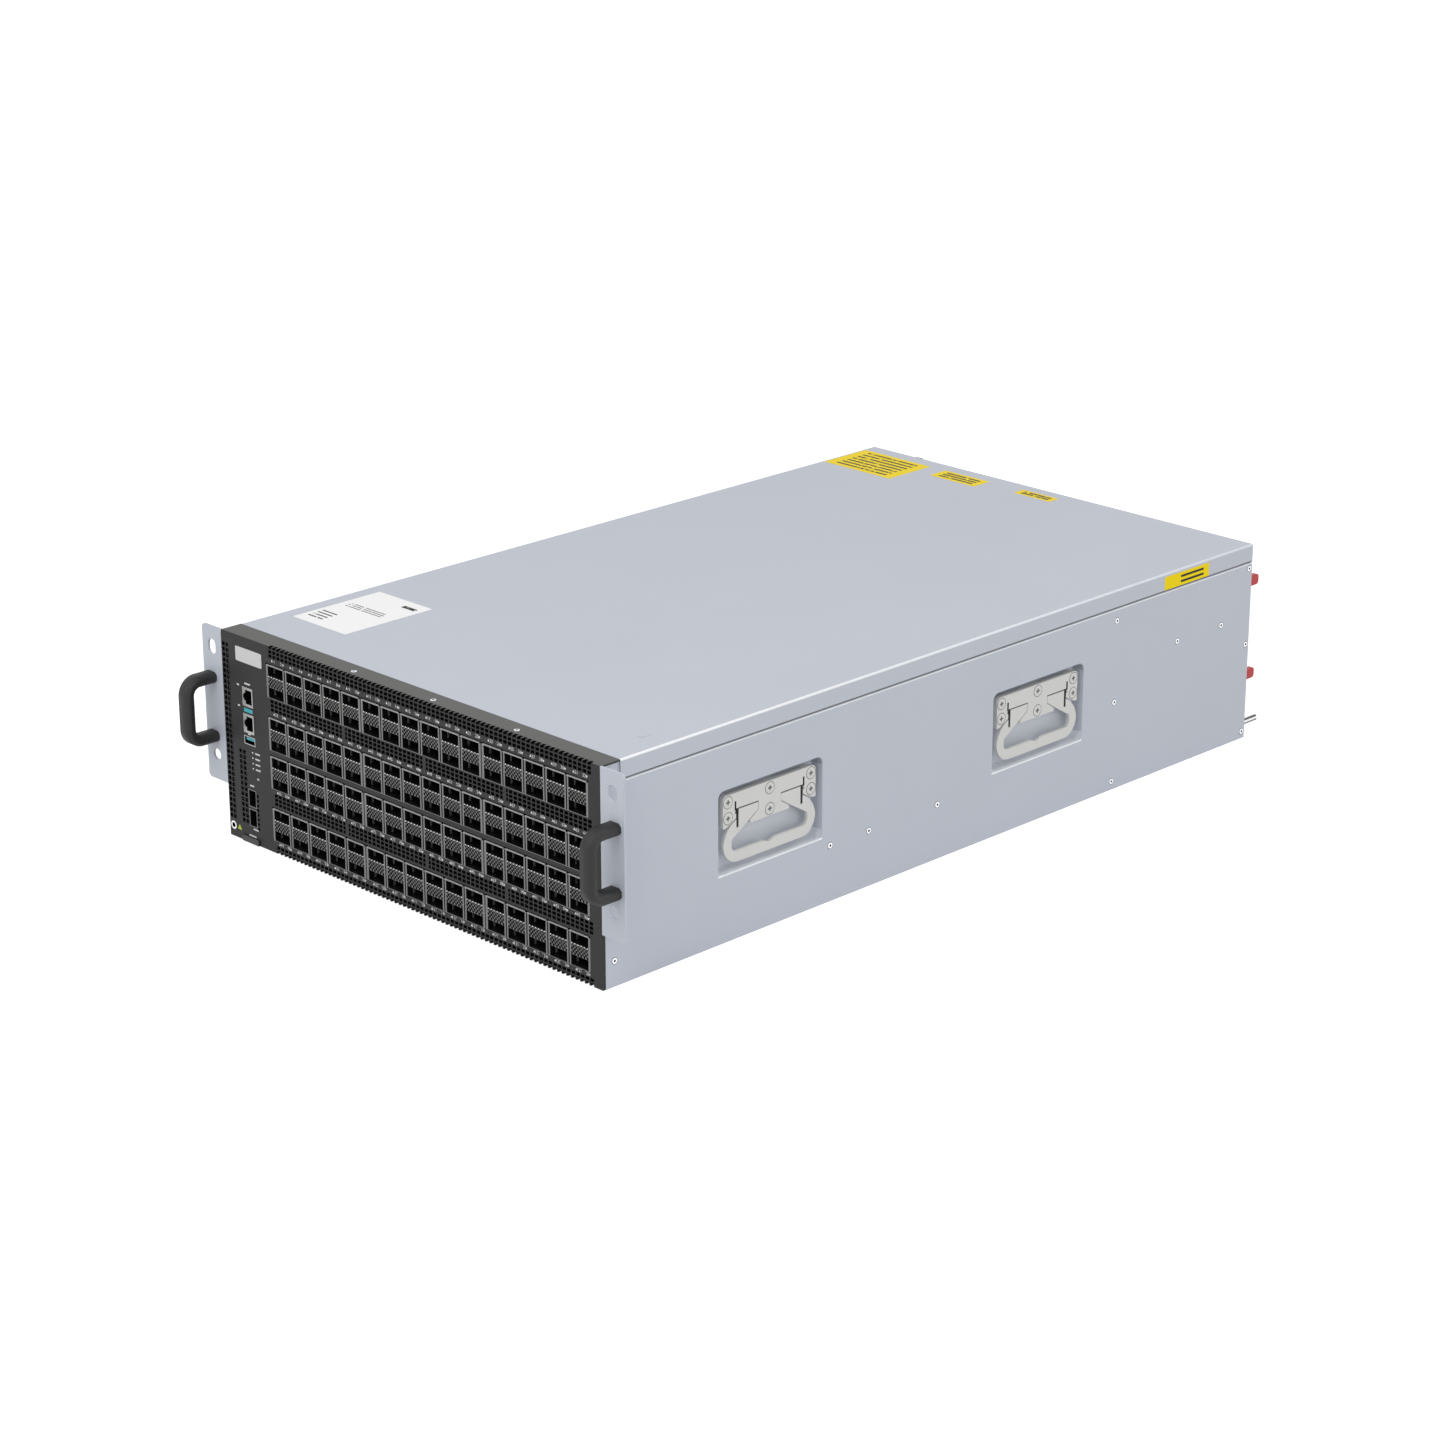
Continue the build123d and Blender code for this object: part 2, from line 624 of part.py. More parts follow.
# Asset tag: a blade that pulls out of a slot at the foot of the bezel
TAG_FLOOR = BEZEL_SHEET + FIT
with BuildPart() as asset_tag:
    with BuildSketch(Plane.XY.offset(TAG_FLOOR)):
        with Locations((TAG_X, FRONT - FIT)):
            Rectangle(TAG_WIDTH, TAG_LENGTH, align=(Align.CENTER, Align.MIN))
    extrude(amount=TAG_THICKNESS)
    with BuildSketch(front_on(FRONT - FIT - TAG_LIP_THICKNESS)):
        with Locations((TAG_X, TAG_LIP_Z + TAG_LIP_HEIGHT / 2)):
            Rectangle(TAG_LIP_WIDTH, TAG_LIP_HEIGHT)
    extrude(amount=-TAG_LIP_THICKNESS)
save(asset_tag, "asset_tag")

# Handle brackets: cast plates screwed to the pocket floors, bored for the carry handles
ROOT_WINDOW_TOP = BAIL_AXIS_RISE + ROOT_WINDOW_RISE
LOBE_START = BAIL_ROOT_END + RELIEF_WIDTH + HINGE_GAP
HINGE_FACE = BAIL_HALF_REACH - HINGE_GAP
PAD_DEPTH = POCKET_DEPTH - BRACKET_INSET - BRACKET_THICKNESS


def pin_plane(side, y, offset):
    """A plane across a handle's hinge axis, offset along the wall from its middle."""
    origin = (side * (HALF - BAIL_AXIS_INSET), y + side * offset, POCKET_CENTRE_Z + BAIL_AXIS_RISE)
    return Plane(origin=origin, x_dir=(0, 0, 1), z_dir=(0, side, 0))


with BuildPart() as handle_brackets:
    for side in (-1, 1):
        for pocket_y in POCKET_YS:
            face = beside(side, pocket_y, POCKET_CENTRE_Z).offset(-BRACKET_INSET)
            with BuildSketch(face) as outline:
                with BuildLine():
                    Polyline(
                        (0, BRACKET_TOP),
                        (BRACKET_HALF_LENGTH, BRACKET_TOP),
                        (BRACKET_HALF_LENGTH, LOBE_FOOT),
                        (BRACKET_HALF_LENGTH - LOBE_CORNER, LOBE_FOOT),
                        (LOBE_START, BAIL_AXIS_RISE - LOBE_TOP_DROP),
                        (LOBE_START, BAIL_AXIS_RISE - RELIEF_STEP_DROP),
                        (LOBE_START + RELIEF_WIDTH / 2, BAIL_AXIS_RISE - RELIEF_STEP_DROP),
                        (LOBE_START + RELIEF_WIDTH / 2, RELIEF_TOP),
                        (LOBE_START, RELIEF_TOP),
                        (LOBE_START, ROOT_WINDOW_TOP),
                        (HINGE_FACE, ROOT_WINDOW_TOP),
                        (HINGE_FACE, SLANT_RISE),
                        (HINGE_FACE + SLANT_RUN, SLANT_FOOT),
                        (HINGE_FACE + SLANT_RUN, BRACKET_FOOT),
                        (0, BRACKET_FOOT),
                        close=True,
                    )
                make_face()
                mirror(about=Plane.YZ)
                levels = outline.vertices().group_by(Axis.Y)
                fillet(levels[-1], radius=BRACKET_CORNER)
            extrude(amount=-BRACKET_THICKNESS)
            with BuildSketch(face.offset(-BRACKET_THICKNESS)):
                pad_height = BRACKET_TOP - LOBE_FOOT - 2 * PAD_INSET
                pad_width = BRACKET_HALF_LENGTH - LOBE_START - RELIEF_WIDTH - 2 * PAD_INSET
                pad_u = BRACKET_HALF_LENGTH - PAD_INSET - pad_width / 2
                pad_v = (BRACKET_TOP + LOBE_FOOT) / 2
                with Locations((-pad_u, pad_v), (pad_u, pad_v)):
                    Rectangle(pad_width, pad_height)
                with Locations((0, pad_v)):
                    Rectangle(2 * (HINGE_FACE - PAD_INSET), pad_height)
            extrude(amount=-PAD_DEPTH)
            for end in (-1, 1):
                for start, length in (
                    (end * (HINGE_FACE - PIN_SEAT - FIT), PIN_SEAT + FIT),
                    (end * (LOBE_START + RELIEF_WIDTH / 2), PIN_SEAT + FIT),
                ):
                    with BuildSketch(pin_plane(side, pocket_y, start)):
                        Circle(BAIL_PIN_RADIUS + PIN_CLEARANCE)
                    extrude(amount=end * length, mode=Mode.SUBTRACT)
save(handle_brackets, "handle_brackets")

# Carry handles: flat loops with a finger dip, hinged on pins near their inner corners
ROOT_TOP = BAIL_AXIS_RISE + ROOT_RISE
ARM_TIP = BAIL_AXIS_RISE - ARM_TIP_DROP


def carry_handle(side, y, name):
    face = beside(side, y, POCKET_CENTRE_Z).offset(-BRACKET_INSET)
    with BuildPart() as bail:
        with BuildSketch(face):
            with BuildLine():
                Polyline(
                    (0, GRIP_TOP - DIP_DEPTH),
                    (DIP_HALF, GRIP_TOP),
                    (ARM_INNER - HOLLOW_CORNER, GRIP_TOP),
                )
                RadiusArc(
                    (ARM_INNER - HOLLOW_CORNER, GRIP_TOP),
                    (ARM_INNER, GRIP_TOP + HOLLOW_CORNER),
                    -HOLLOW_CORNER,
                )
                Polyline(
                    (ARM_INNER, GRIP_TOP + HOLLOW_CORNER),
                    (ARM_INNER, GRIP_TOP + 2 * HOLLOW_CORNER),
                    (BAIL_HALF_REACH, SLANT_RISE + HINGE_GAP),
                    (BAIL_HALF_REACH, ROOT_TOP),
                    (BAIL_ROOT_END, ROOT_TOP),
                    (BAIL_ROOT_END, NOTCH_FOOT),
                    (BAIL_ROOT_END + RELIEF_WIDTH, NOTCH_FOOT),
                    (BAIL_ROOT_END + RELIEF_WIDTH, ARM_TIP),
                )
                ThreePointArc(
                    (BAIL_ROOT_END + RELIEF_WIDTH, ARM_TIP), ARM_BEND, (BAIL_HALF_LENGTH, ARM_WAIST)
                )
                ThreePointArc((BAIL_HALF_LENGTH, ARM_WAIST), FOOT_BEND, (FOOT_END, GRIP_FOOT))
                Polyline((FOOT_END, GRIP_FOOT), (0, GRIP_FOOT), (0, GRIP_TOP - DIP_DEPTH))
            make_face()
            mirror(about=Plane.YZ)
        extrude(amount=-BAIL_THICKNESS)
        for end in (-1, 1):
            for start, length in (
                (end * BAIL_HALF_REACH, -HINGE_GAP - PIN_SEAT),
                (end * BAIL_ROOT_END, LOBE_START + RELIEF_WIDTH / 2 + PIN_SEAT - BAIL_ROOT_END),
            ):
                with BuildSketch(pin_plane(side, y, start)):
                    Circle(BAIL_PIN_RADIUS)
                extrude(amount=end * length)
    save(bail, name)


carry_handle(-1, POCKET_YS[0], "carry_handle_front_left")
carry_handle(1, POCKET_YS[0], "carry_handle_front_right")
carry_handle(-1, POCKET_YS[1], "carry_handle_rear_left")
carry_handle(1, POCKET_YS[1], "carry_handle_rear_right")

# Circuit boards: the main board between the middle rows, one board for each outer row, and
# an upright board beside the management ports, which lie on their side
BOARD_FRONT = FRONT + BOARD_SETBACK
SIDE_BOARD_X = MANAGEMENT_X + USB_WIDTH / 2 + FIT
SIDE_BOARD_BOTTOM = SFP_ZS[-1] - SFP_HEIGHT / 2
with BuildPart() as circuit_boards:
    with BuildSketch(Plane.XY.offset(BOARD_PLANE_Z - MAIN_BOARD_THICKNESS / 2)):
        with Locations((0, BOARD_FRONT + MAIN_BOARD_LENGTH / 2)):
            Rectangle(2 * BOARD_HALF, MAIN_BOARD_LENGTH)
        with Locations((-BOARD_HALF, BOARD_FRONT)):
            Rectangle(
                SIDE_BOARD_X + SIDE_BOARD_THICKNESS + FIT + BOARD_HALF,
                SIDE_BOARD_LENGTH + FIT,
                align=(Align.MIN, Align.MIN),
                mode=Mode.SUBTRACT,
            )
    extrude(amount=MAIN_BOARD_THICKNESS)
    with BuildSketch(Plane.YZ.offset(SIDE_BOARD_X)):
        with Locations((BOARD_FRONT, SIDE_BOARD_BOTTOM)):
            Rectangle(
                SIDE_BOARD_LENGTH,
                JACK_ZS[0] + JACK_HEIGHT / 2 - SIDE_BOARD_BOTTOM,
                align=(Align.MIN, Align.MIN),
            )
    extrude(amount=SIDE_BOARD_THICKNESS)
    for board_bottom in (
        ROW_BOTTOMS[0] - CAGE_SHEET - FIT - PORT_BOARD_THICKNESS,
        ROW_BOTTOMS[3] + CAGE_HEIGHT + CAGE_SHEET + FIT,
    ):
        with BuildSketch(Plane.XY.offset(board_bottom)):
            with Locations((PORTS_CENTRE_X, BOARD_FRONT + PORT_BOARD_LENGTH / 2)):
                Rectangle(PORTS_SPAN, PORT_BOARD_LENGTH)
        extrude(amount=PORT_BOARD_THICKNESS)
save(circuit_boards, "circuit_boards")

# Switch chip, and the finned heat sink that stands on it
CHIP_Y = FRONT + CHIP_SETBACK
CHIP_BOTTOM = BOARD_PLANE_Z + MAIN_BOARD_THICKNESS / 2
with BuildPart() as switch_chip:
    with BuildSketch(Plane.XY.offset(CHIP_BOTTOM)):
        with Locations((0, CHIP_Y)):
            Rectangle(CHIP_SIZE, CHIP_SIZE)
    extrude(amount=CHIP_THICKNESS)
    chamfer(switch_chip.faces().sort_by(Axis.Z)[-1].edges(), length=CHIP_CHAMFER)
save(switch_chip, "switch_chip")

FIN_PITCH = (SINK_WIDTH - FIN_THICKNESS) / (FIN_COUNT - 1)
with BuildPart() as heat_sink:
    with BuildSketch(front_on(CHIP_Y - SINK_LENGTH / 2)):
        with Locations((0, CHIP_BOTTOM + CHIP_THICKNESS)):
            Rectangle(SINK_WIDTH, SINK_BASE, align=(Align.CENTER, Align.MIN))
        with Locations((0, CHIP_BOTTOM + CHIP_THICKNESS + SINK_HEIGHT / 2)):
            with GridLocations(FIN_PITCH, 1, FIN_COUNT, 1):
                Rectangle(FIN_THICKNESS, SINK_HEIGHT)
    extrude(amount=-SINK_LENGTH)
save(heat_sink, "heat_sink")

# Rear frame: upright sheets with shelves slid between them, a bay for each module, and a
# closing panel beside the fans that carries the ground stud
MARGIN_LEFT = FIRST_FAN_X + (FAN_COLUMNS - 0.5) * (FAN_BAY_WIDTH + FRAME_SHEET) - FRAME_SHEET / 2
FIRST_FAN_LEFT = FIRST_FAN_X - FAN_BAY_WIDTH / 2
BAY_COLUMNS = [(FRAME_LEFT + FRAME_SHEET, SUPPLY_BAY_WIDTH, SUPPLY_COUNT, SUPPLY_FRAME_FRONT)] + [
    (FIRST_FAN_LEFT + n * (FAN_BAY_WIDTH + FRAME_SHEET), FAN_BAY_WIDTH, FAN_ROWS, FAN_FRAME_FRONT)
    for n in range(FAN_COLUMNS)
]
BAY_COLUMNS.append(
    (MARGIN_LEFT + FRAME_SHEET, FRAME_RIGHT - MARGIN_LEFT - 2 * FRAME_SHEET, 1, FAN_FRAME_FRONT)
)
with BuildPart() as rear_frame:
    with BuildSketch(front_on(SUPPLY_FRAME_FRONT)):
        for x in (FRAME_LEFT, FIRST_FAN_LEFT - FRAME_SHEET):
            with Locations((x, FRAME_BOTTOM)):
                Rectangle(FRAME_SHEET, FRAME_TOP - FRAME_BOTTOM, align=(Align.MIN, Align.MIN))
    extrude(amount=-(REAR - SUPPLY_FRAME_FRONT))
    with BuildSketch(front_on(FAN_FRAME_FRONT)):
        for left, width, _, _ in BAY_COLUMNS[1:]:
            with Locations((left + width, FRAME_BOTTOM)):
                Rectangle(FRAME_SHEET, FRAME_TOP - FRAME_BOTTOM, align=(Align.MIN, Align.MIN))
    extrude(amount=-(REAR - FAN_FRAME_FRONT))
    for left, width, bays, shelf_front in BAY_COLUMNS:
        with BuildSketch(front_on(shelf_front)):
            shelf_step = (BAY_STACK + FRAME_SHEET) / bays
            for n in range(bays + 1):
                with Locations((left + FRAME_SEAM, FRAME_BOTTOM + n * shelf_step)):
                    Rectangle(width - 2 * FRAME_SEAM, FRAME_SHEET, align=(Align.MIN, Align.MIN))
        extrude(amount=-(REAR - shelf_front))
    with BuildSketch(front_on(REAR - FRAME_SHEET)):
        left, width, _, _ = BAY_COLUMNS[-1]
        with Locations((left + FRAME_SEAM, FRAME_BOTTOM + FRAME_SHEET + FRAME_SEAM)):
            Rectangle(
                width - 2 * FRAME_SEAM, BAY_STACK - 2 * FRAME_SEAM, align=(Align.MIN, Align.MIN)
            )
        with Locations((STUD_X, STUD_Z)):
            Circle(STUD_RADIUS + FIT, mode=Mode.SUBTRACT)
    extrude(amount=-FRAME_SHEET)
save(rear_frame, "rear_frame")

# Fan board: the midplane that the fan modules plug into, with an air hole for each
with BuildPart() as fan_board:
    with BuildSketch(front_on(FAN_FRAME_FRONT - FAN_BOARD_THICKNESS)):
        with Locations((FIRST_FAN_LEFT, FRAME_BOTTOM)):
            Rectangle(
                FRAME_RIGHT - FIRST_FAN_LEFT, FRAME_TOP - FRAME_BOTTOM, align=(Align.MIN, Align.MIN)
            )
        with Locations(*fan_places()):
            RegularPolygon(DUCT_RADIUS, 12, mode=Mode.SUBTRACT)
    extrude(amount=-FAN_BOARD_THICKNESS)
save(fan_board, "fan_board")

# Ground stud: a plain stud with its nut clamped to the rear frame
with BuildPart() as ground_stud:
    with BuildSketch(front_on(REAR - STUD_SEAT)):
        with Locations((STUD_X, STUD_Z)):
            Circle(STUD_RADIUS)
    extrude(amount=-(STUD_REACH + STUD_SEAT))
    chamfer(ground_stud.edges().group_by(Axis.Y)[-1], length=STUD_CHAMFER)
    with BuildSketch(front_on(REAR)):
        with Locations((STUD_X, STUD_Z)):
            RegularPolygon(NUT_WIDTH / 2, 6, major_radius=False)
    extrude(amount=-NUT_THICKNESS)
save(ground_stud, "ground_stud")


def lever_pivot(x, z):
    """The upright hinge axis of a release lever, as a plane facing up through its middle."""
    return Plane(origin=(x, REAR + LATCH_PIVOT_REACH, z), z_dir=(0, 0, 1))


def add_lugs(x, z, height):
    """Two bored ears on a rear face, above and below a release lever."""
    pivot = lever_pivot(x, z)
    for end in (-1, 1):
        ear_plane = pivot.offset(end * (height / 2 + FIT))
        with BuildSketch(ear_plane) as lug:
            RegularPolygon(LUG_RADIUS, LUG_SIDES, major_radius=False, rotation=180 / LUG_SIDES)
            with Locations((0, -LATCH_PIVOT_REACH / 2)):
                Rectangle(2 * LUG_RADIUS, LATCH_PIVOT_REACH)
            Circle(LATCH_PIN_RADIUS + PIN_CLEARANCE, mode=Mode.SUBTRACT)
        extrude(lug.sketch, amount=end * LUG_THICKNESS)


def release_lever(x, z, reach, height, name):
    """A thumb lever with a rounded root, its end corners rounded, on its own pivot pins."""
    pivot = lever_pivot(x, z)
    with BuildPart() as lever:
        with BuildSketch(pivot.offset(-height / 2)):
            Circle(LATCH_THICKNESS / 2)
            with Locations((0, (reach - LATCH_PIVOT_REACH) / 2)):
                Rectangle(LATCH_THICKNESS, reach - LATCH_PIVOT_REACH)
        extrude(amount=height)
        tip = lever.edges().filter_by(Axis.X).group_by(Axis.Y)[-1]
        fillet(tip, radius=LATCH_CORNER)
        with BuildSketch(pivot.offset(-height / 2 - FIT - LUG_THICKNESS)):
            Circle(LATCH_PIN_RADIUS)
        extrude(amount=height + 2 * FIT + 2 * LUG_THICKNESS)
    save(lever, name)


# Fan module: a square casing with a round duct, a slotted guard, a pull tab and lever lugs
def guard_slots():
    """Middle, width and height of each upright guard slot, split where the hub plate lies."""
    count = int(GUARD_RADIUS // GUARD_PITCH)
    slots = []
    for n in range(-count, count + 1):
        x = n * GUARD_PITCH
        outer = sqrt(GUARD_RADIUS**2 - (abs(x) + GUARD_SLOT / 2) ** 2) if abs(n) < count else 0
        if outer < GUARD_SLOT:
            continue
        if abs(x) < GUARD_HUB_RADIUS:
            inner = sqrt(GUARD_HUB_RADIUS**2 - x**2) + GUARD_THICKNESS
            for sign in (-1, 1):
                slots.append((x, sign * (outer + inner) / 2, outer - inner))
        else:
            slots.append((x, 0, 2 * outer))
    return slots


def fan_module(x, z, name):
    with BuildPart() as module:
        with BuildSketch(front_on(REAR - FAN_DEPTH)):
            with Locations((x, z)):
                Rectangle(FAN_WIDTH, FAN_HEIGHT)
        extrude(amount=-FAN_DEPTH)
        with BuildSketch(front_on(REAR - FAN_DEPTH)):
            with Locations((x, z)):
                RegularPolygon(DUCT_RADIUS, DUCT_SIDES, major_radius=False)
        extrude(amount=-(FAN_DEPTH - GUARD_THICKNESS), mode=Mode.SUBTRACT)
        with BuildSketch(front_on(REAR - GUARD_THICKNESS)):
            for slot_x, slot_z, slot_height in guard_slots():
                with Locations((x + slot_x, z + slot_z)):
                    Rectangle(GUARD_SLOT, slot_height)
        extrude(amount=-GUARD_THICKNESS, mode=Mode.SUBTRACT)
        with BuildSketch(front_on(REAR - 2 * GUARD_THICKNESS)):
            with Locations((x, z)):
                Circle(GUARD_HUB_RADIUS - GUARD_THICKNESS)
        extrude(amount=-2 * GUARD_THICKNESS)
        with BuildSketch(front_on(REAR - 2 * GUARD_THICKNESS)):
            with Locations((x, z)):
                Circle(SHAFT_RADIUS + SHAFT_CLEARANCE)
        extrude(amount=-SHAFT_SEAT, mode=Mode.SUBTRACT)
        with BuildSketch(Plane.YZ.offset(x + TAB_OFFSET_X - TAB_THICKNESS / 2)):
            with Locations((REAR + TAB_REACH / 2 - GUARD_THICKNESS / 2, z)):
                Rectangle(TAB_REACH + GUARD_THICKNESS, TAB_HEIGHT)
        extrude(amount=TAB_THICKNESS)
        fillet(module.edges().filter_by(Axis.X).group_by(Axis.Y)[-1], radius=TAB_CORNER)
        add_lugs(x + LATCH_OFFSET_X, z + LATCH_OFFSET_Z, LATCH_HEIGHT)
    save(module, name)


# Fan rotor: a hub cup with cambered blades and a stub shaft that runs in the guard's hub
ROTOR_REAR = REAR - 2 * GUARD_THICKNESS - ROTOR_GAP
BLADE_END = DUCT_RADIUS - ROTOR_GAP


def fan_rotor(x, z, name):
    centre = Plane(origin=(x, ROTOR_REAR, z), x_dir=(1, 0, 0), z_dir=(0, -1, 0))
    with BuildPart() as rotor:
        with BuildSketch(centre):
            RegularPolygon(HUB_RADIUS, HUB_SIDES)
        extrude(amount=HUB_LENGTH)
        chamfer(rotor.edges().group_by(Axis.Y)[0], length=HUB_CHAMFER)
        with BuildSketch(centre.offset(-ROTOR_GAP - GUARD_THICKNESS)):
            Circle(SHAFT_RADIUS)
        extrude(amount=ROTOR_GAP + GUARD_THICKNESS)
        for n in range(BLADE_COUNT):
            turn = n * 2 * pi / BLADE_COUNT
            radial = Vector(cos(turn), 0, sin(turn))
            chord = Vector(
                -sin(turn) * cos(radians(BLADE_PITCH)),
                sin(radians(BLADE_PITCH)),
                cos(turn) * cos(radians(BLADE_PITCH)),
            )
            middle = Vector(x, ROTOR_REAR - HUB_LENGTH / 2, z)
            root = Plane(origin=middle + radial * BLADE_ROOT, x_dir=chord, z_dir=radial)
            with BuildSketch(root):
                with BuildLine():
                    Polyline(
                        (-BLADE_CHORD / 2, 0),
                        (-BLADE_FOLD, BLADE_CAMBER),
                        (BLADE_FOLD, BLADE_CAMBER),
                        (BLADE_CHORD / 2, 0),
                        (BLADE_FOLD, BLADE_CAMBER - BLADE_THICKNESS),
                        (-BLADE_FOLD, BLADE_CAMBER - BLADE_THICKNESS),
                        close=True,
                    )
                make_face()
            extrude(amount=sqrt(BLADE_END**2 - (BLADE_CHORD / 2) ** 2) - BLADE_ROOT)
    save(rotor, name)


for number, (fan_x, fan_z) in enumerate(fan_places(), start=1):
    fan_module(fan_x, fan_z, f"fan_module_{number}")
    fan_rotor(fan_x, fan_z, f"fan_rotor_{number}")
    release_lever(
        fan_x + LATCH_OFFSET_X, fan_z + LATCH_OFFSET_Z, LATCH_REACH, LATCH_HEIGHT, f"fan_latch_{number}"
    )


# Power supply: a closed casing with its mains inlet, air slots, loop handle and lever lugs
def power_supply(x, z, name):
    with BuildPart() as supply:
        with BuildSketch(front_on(REAR - SUPPLY_DEPTH)):
            with Locations((x, z)):
                Rectangle(SUPPLY_WIDTH, SUPPLY_HEIGHT)
        extrude(amount=-SUPPLY_DEPTH)
        with BuildSketch(front_on(REAR - INLET_DEPTH)):
            with Locations((x + INLET_OFFSET_X, z)):
                RectangleRounded(INLET_WIDTH, INLET_HEIGHT, INLET_CORNER)
        extrude(amount=-INLET_DEPTH, mode=Mode.SUBTRACT)
        with BuildSketch(front_on(REAR - INLET_DEPTH)):
            with Locations(
                (x + INLET_OFFSET_X - PIN_BLADE_SPREAD, z - PIN_BLADE_WIDTH),
                (x + INLET_OFFSET_X, z + PIN_BLADE_WIDTH),
                (x + INLET_OFFSET_X + PIN_BLADE_SPREAD, z - PIN_BLADE_WIDTH),
            ):
                Rectangle(PIN_BLADE_WIDTH, PIN_BLADE_HEIGHT)
        extrude(amount=-PIN_BLADE_LENGTH)
        with BuildSketch(front_on(REAR - VENT_SLOT_DEPTH)):
            with Locations((x + VENT_OFFSET_X, z)):
                with GridLocations(VENT_SLOT_PITCH, 1, VENT_SLOT_COUNT, 1):
                    Rectangle(VENT_SLOT_WIDTH, VENT_SLOT_HEIGHT)
        extrude(amount=-VENT_SLOT_DEPTH, mode=Mode.SUBTRACT)
        with BuildSketch(Plane.YZ.offset(x + LOOP_OFFSET_X - LOOP_BAR / 2)):
            with BuildLine():
                FilletPolyline(
                    (REAR, z - LOOP_HEIGHT / 2),
                    (REAR + LOOP_REACH, z - LOOP_HEIGHT / 2),
                    (REAR + LOOP_REACH, z + LOOP_HEIGHT / 2),
                    (REAR, z + LOOP_HEIGHT / 2),
                    radius=LOOP_CORNER,
                )
                Line((REAR, z + LOOP_HEIGHT / 2), (REAR, z - LOOP_HEIGHT / 2))
            make_face()
            with BuildLine():
                FilletPolyline(
                    (REAR, z - LOOP_HEIGHT / 2 + LOOP_BAR),
                    (REAR + LOOP_REACH - LOOP_BAR, z - LOOP_HEIGHT / 2 + LOOP_BAR),
                    (REAR + LOOP_REACH - LOOP_BAR, z + LOOP_HEIGHT / 2 - LOOP_BAR),
                    (REAR, z + LOOP_HEIGHT / 2 - LOOP_BAR),
                    radius=LOOP_CORNER - LOOP_BAR,
                )
                Line((REAR, z + LOOP_HEIGHT / 2 - LOOP_BAR), (REAR, z - LOOP_HEIGHT / 2 + LOOP_BAR))
            make_face(mode=Mode.SUBTRACT)
        extrude(amount=LOOP_BAR)
        add_lugs(x + RELEASE_OFFSET_X, z, RELEASE_HEIGHT)
    save(supply, name)


for number, (supply_x, supply_z) in enumerate(supply_places(), start=1):
    power_supply(supply_x, supply_z, f"power_supply_{number}")
    release_lever(
        supply_x + RELEASE_OFFSET_X, supply_z, RELEASE_REACH, RELEASE_HEIGHT, f"supply_latch_{number}"
    )
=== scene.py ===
"""The looks of a four-unit rack ethernet switch, modelled round its packed construction.

Metres. The origin is the middle of the underside, +X is right and +Y is rearwards for
someone who faces the ports, and +Z is up.
"""

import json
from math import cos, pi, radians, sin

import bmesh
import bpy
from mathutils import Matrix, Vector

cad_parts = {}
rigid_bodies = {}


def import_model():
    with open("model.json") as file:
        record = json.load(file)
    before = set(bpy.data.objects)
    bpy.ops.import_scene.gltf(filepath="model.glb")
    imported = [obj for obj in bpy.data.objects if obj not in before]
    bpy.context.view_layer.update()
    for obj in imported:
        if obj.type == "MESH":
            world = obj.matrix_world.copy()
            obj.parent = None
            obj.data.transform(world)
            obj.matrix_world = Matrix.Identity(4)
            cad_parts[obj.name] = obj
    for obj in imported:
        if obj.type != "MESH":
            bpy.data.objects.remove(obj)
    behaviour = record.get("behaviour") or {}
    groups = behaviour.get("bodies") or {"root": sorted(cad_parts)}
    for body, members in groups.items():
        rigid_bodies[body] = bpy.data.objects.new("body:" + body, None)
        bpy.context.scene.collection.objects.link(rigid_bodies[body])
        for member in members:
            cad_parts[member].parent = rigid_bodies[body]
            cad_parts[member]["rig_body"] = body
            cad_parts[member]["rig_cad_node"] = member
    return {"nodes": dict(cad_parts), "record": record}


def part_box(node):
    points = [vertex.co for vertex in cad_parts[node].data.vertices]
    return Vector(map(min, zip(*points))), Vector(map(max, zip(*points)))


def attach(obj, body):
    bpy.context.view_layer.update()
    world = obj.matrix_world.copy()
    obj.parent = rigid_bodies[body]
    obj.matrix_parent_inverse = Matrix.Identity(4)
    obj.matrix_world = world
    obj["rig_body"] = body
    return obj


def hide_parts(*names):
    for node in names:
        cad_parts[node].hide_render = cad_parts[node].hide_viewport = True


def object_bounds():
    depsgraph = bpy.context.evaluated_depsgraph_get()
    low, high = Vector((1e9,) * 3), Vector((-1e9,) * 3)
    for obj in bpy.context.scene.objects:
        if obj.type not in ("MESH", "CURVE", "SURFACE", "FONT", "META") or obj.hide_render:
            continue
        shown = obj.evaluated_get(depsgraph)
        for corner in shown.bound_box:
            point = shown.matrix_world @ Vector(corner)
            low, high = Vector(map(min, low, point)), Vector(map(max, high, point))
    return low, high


bl_info = {
    "name": "Rack Ethernet Switch",
    "version": (1, 0, 0),
    "blender": (4, 5, 0),
    "location": "View3D > Sidebar > Switch",
    "description": "Finishes, perforated sheets, fasteners, marks and studio of a rack switch",
    "category": "Object",
}

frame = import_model()
CAD_LOW, CAD_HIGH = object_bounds()

MM = 0.001
SPACER_LOW, SPACER_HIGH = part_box("port_spacers")
USB_LOW, USB_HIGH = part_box("usb_port")
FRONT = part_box("front_bezel")[0].y
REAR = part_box("top_cover")[1].y
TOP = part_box("top_cover")[1].z
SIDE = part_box("base_tray")[1].x

# Port columns and rows, as the construction has them
PORT_WIDTH = 18.8 * MM
PORT_PITCH = 23.0 * MM
GANGS = (5, 6, 5)
GANG_GAP = 1.2 * MM
SPACER_TALL = 9.2 * MM
PORT_TALL = 8.5 * MM
ROW_BOTTOMS = tuple(z * MM for z in (132.35, 88.05, 55.55, 11.25))

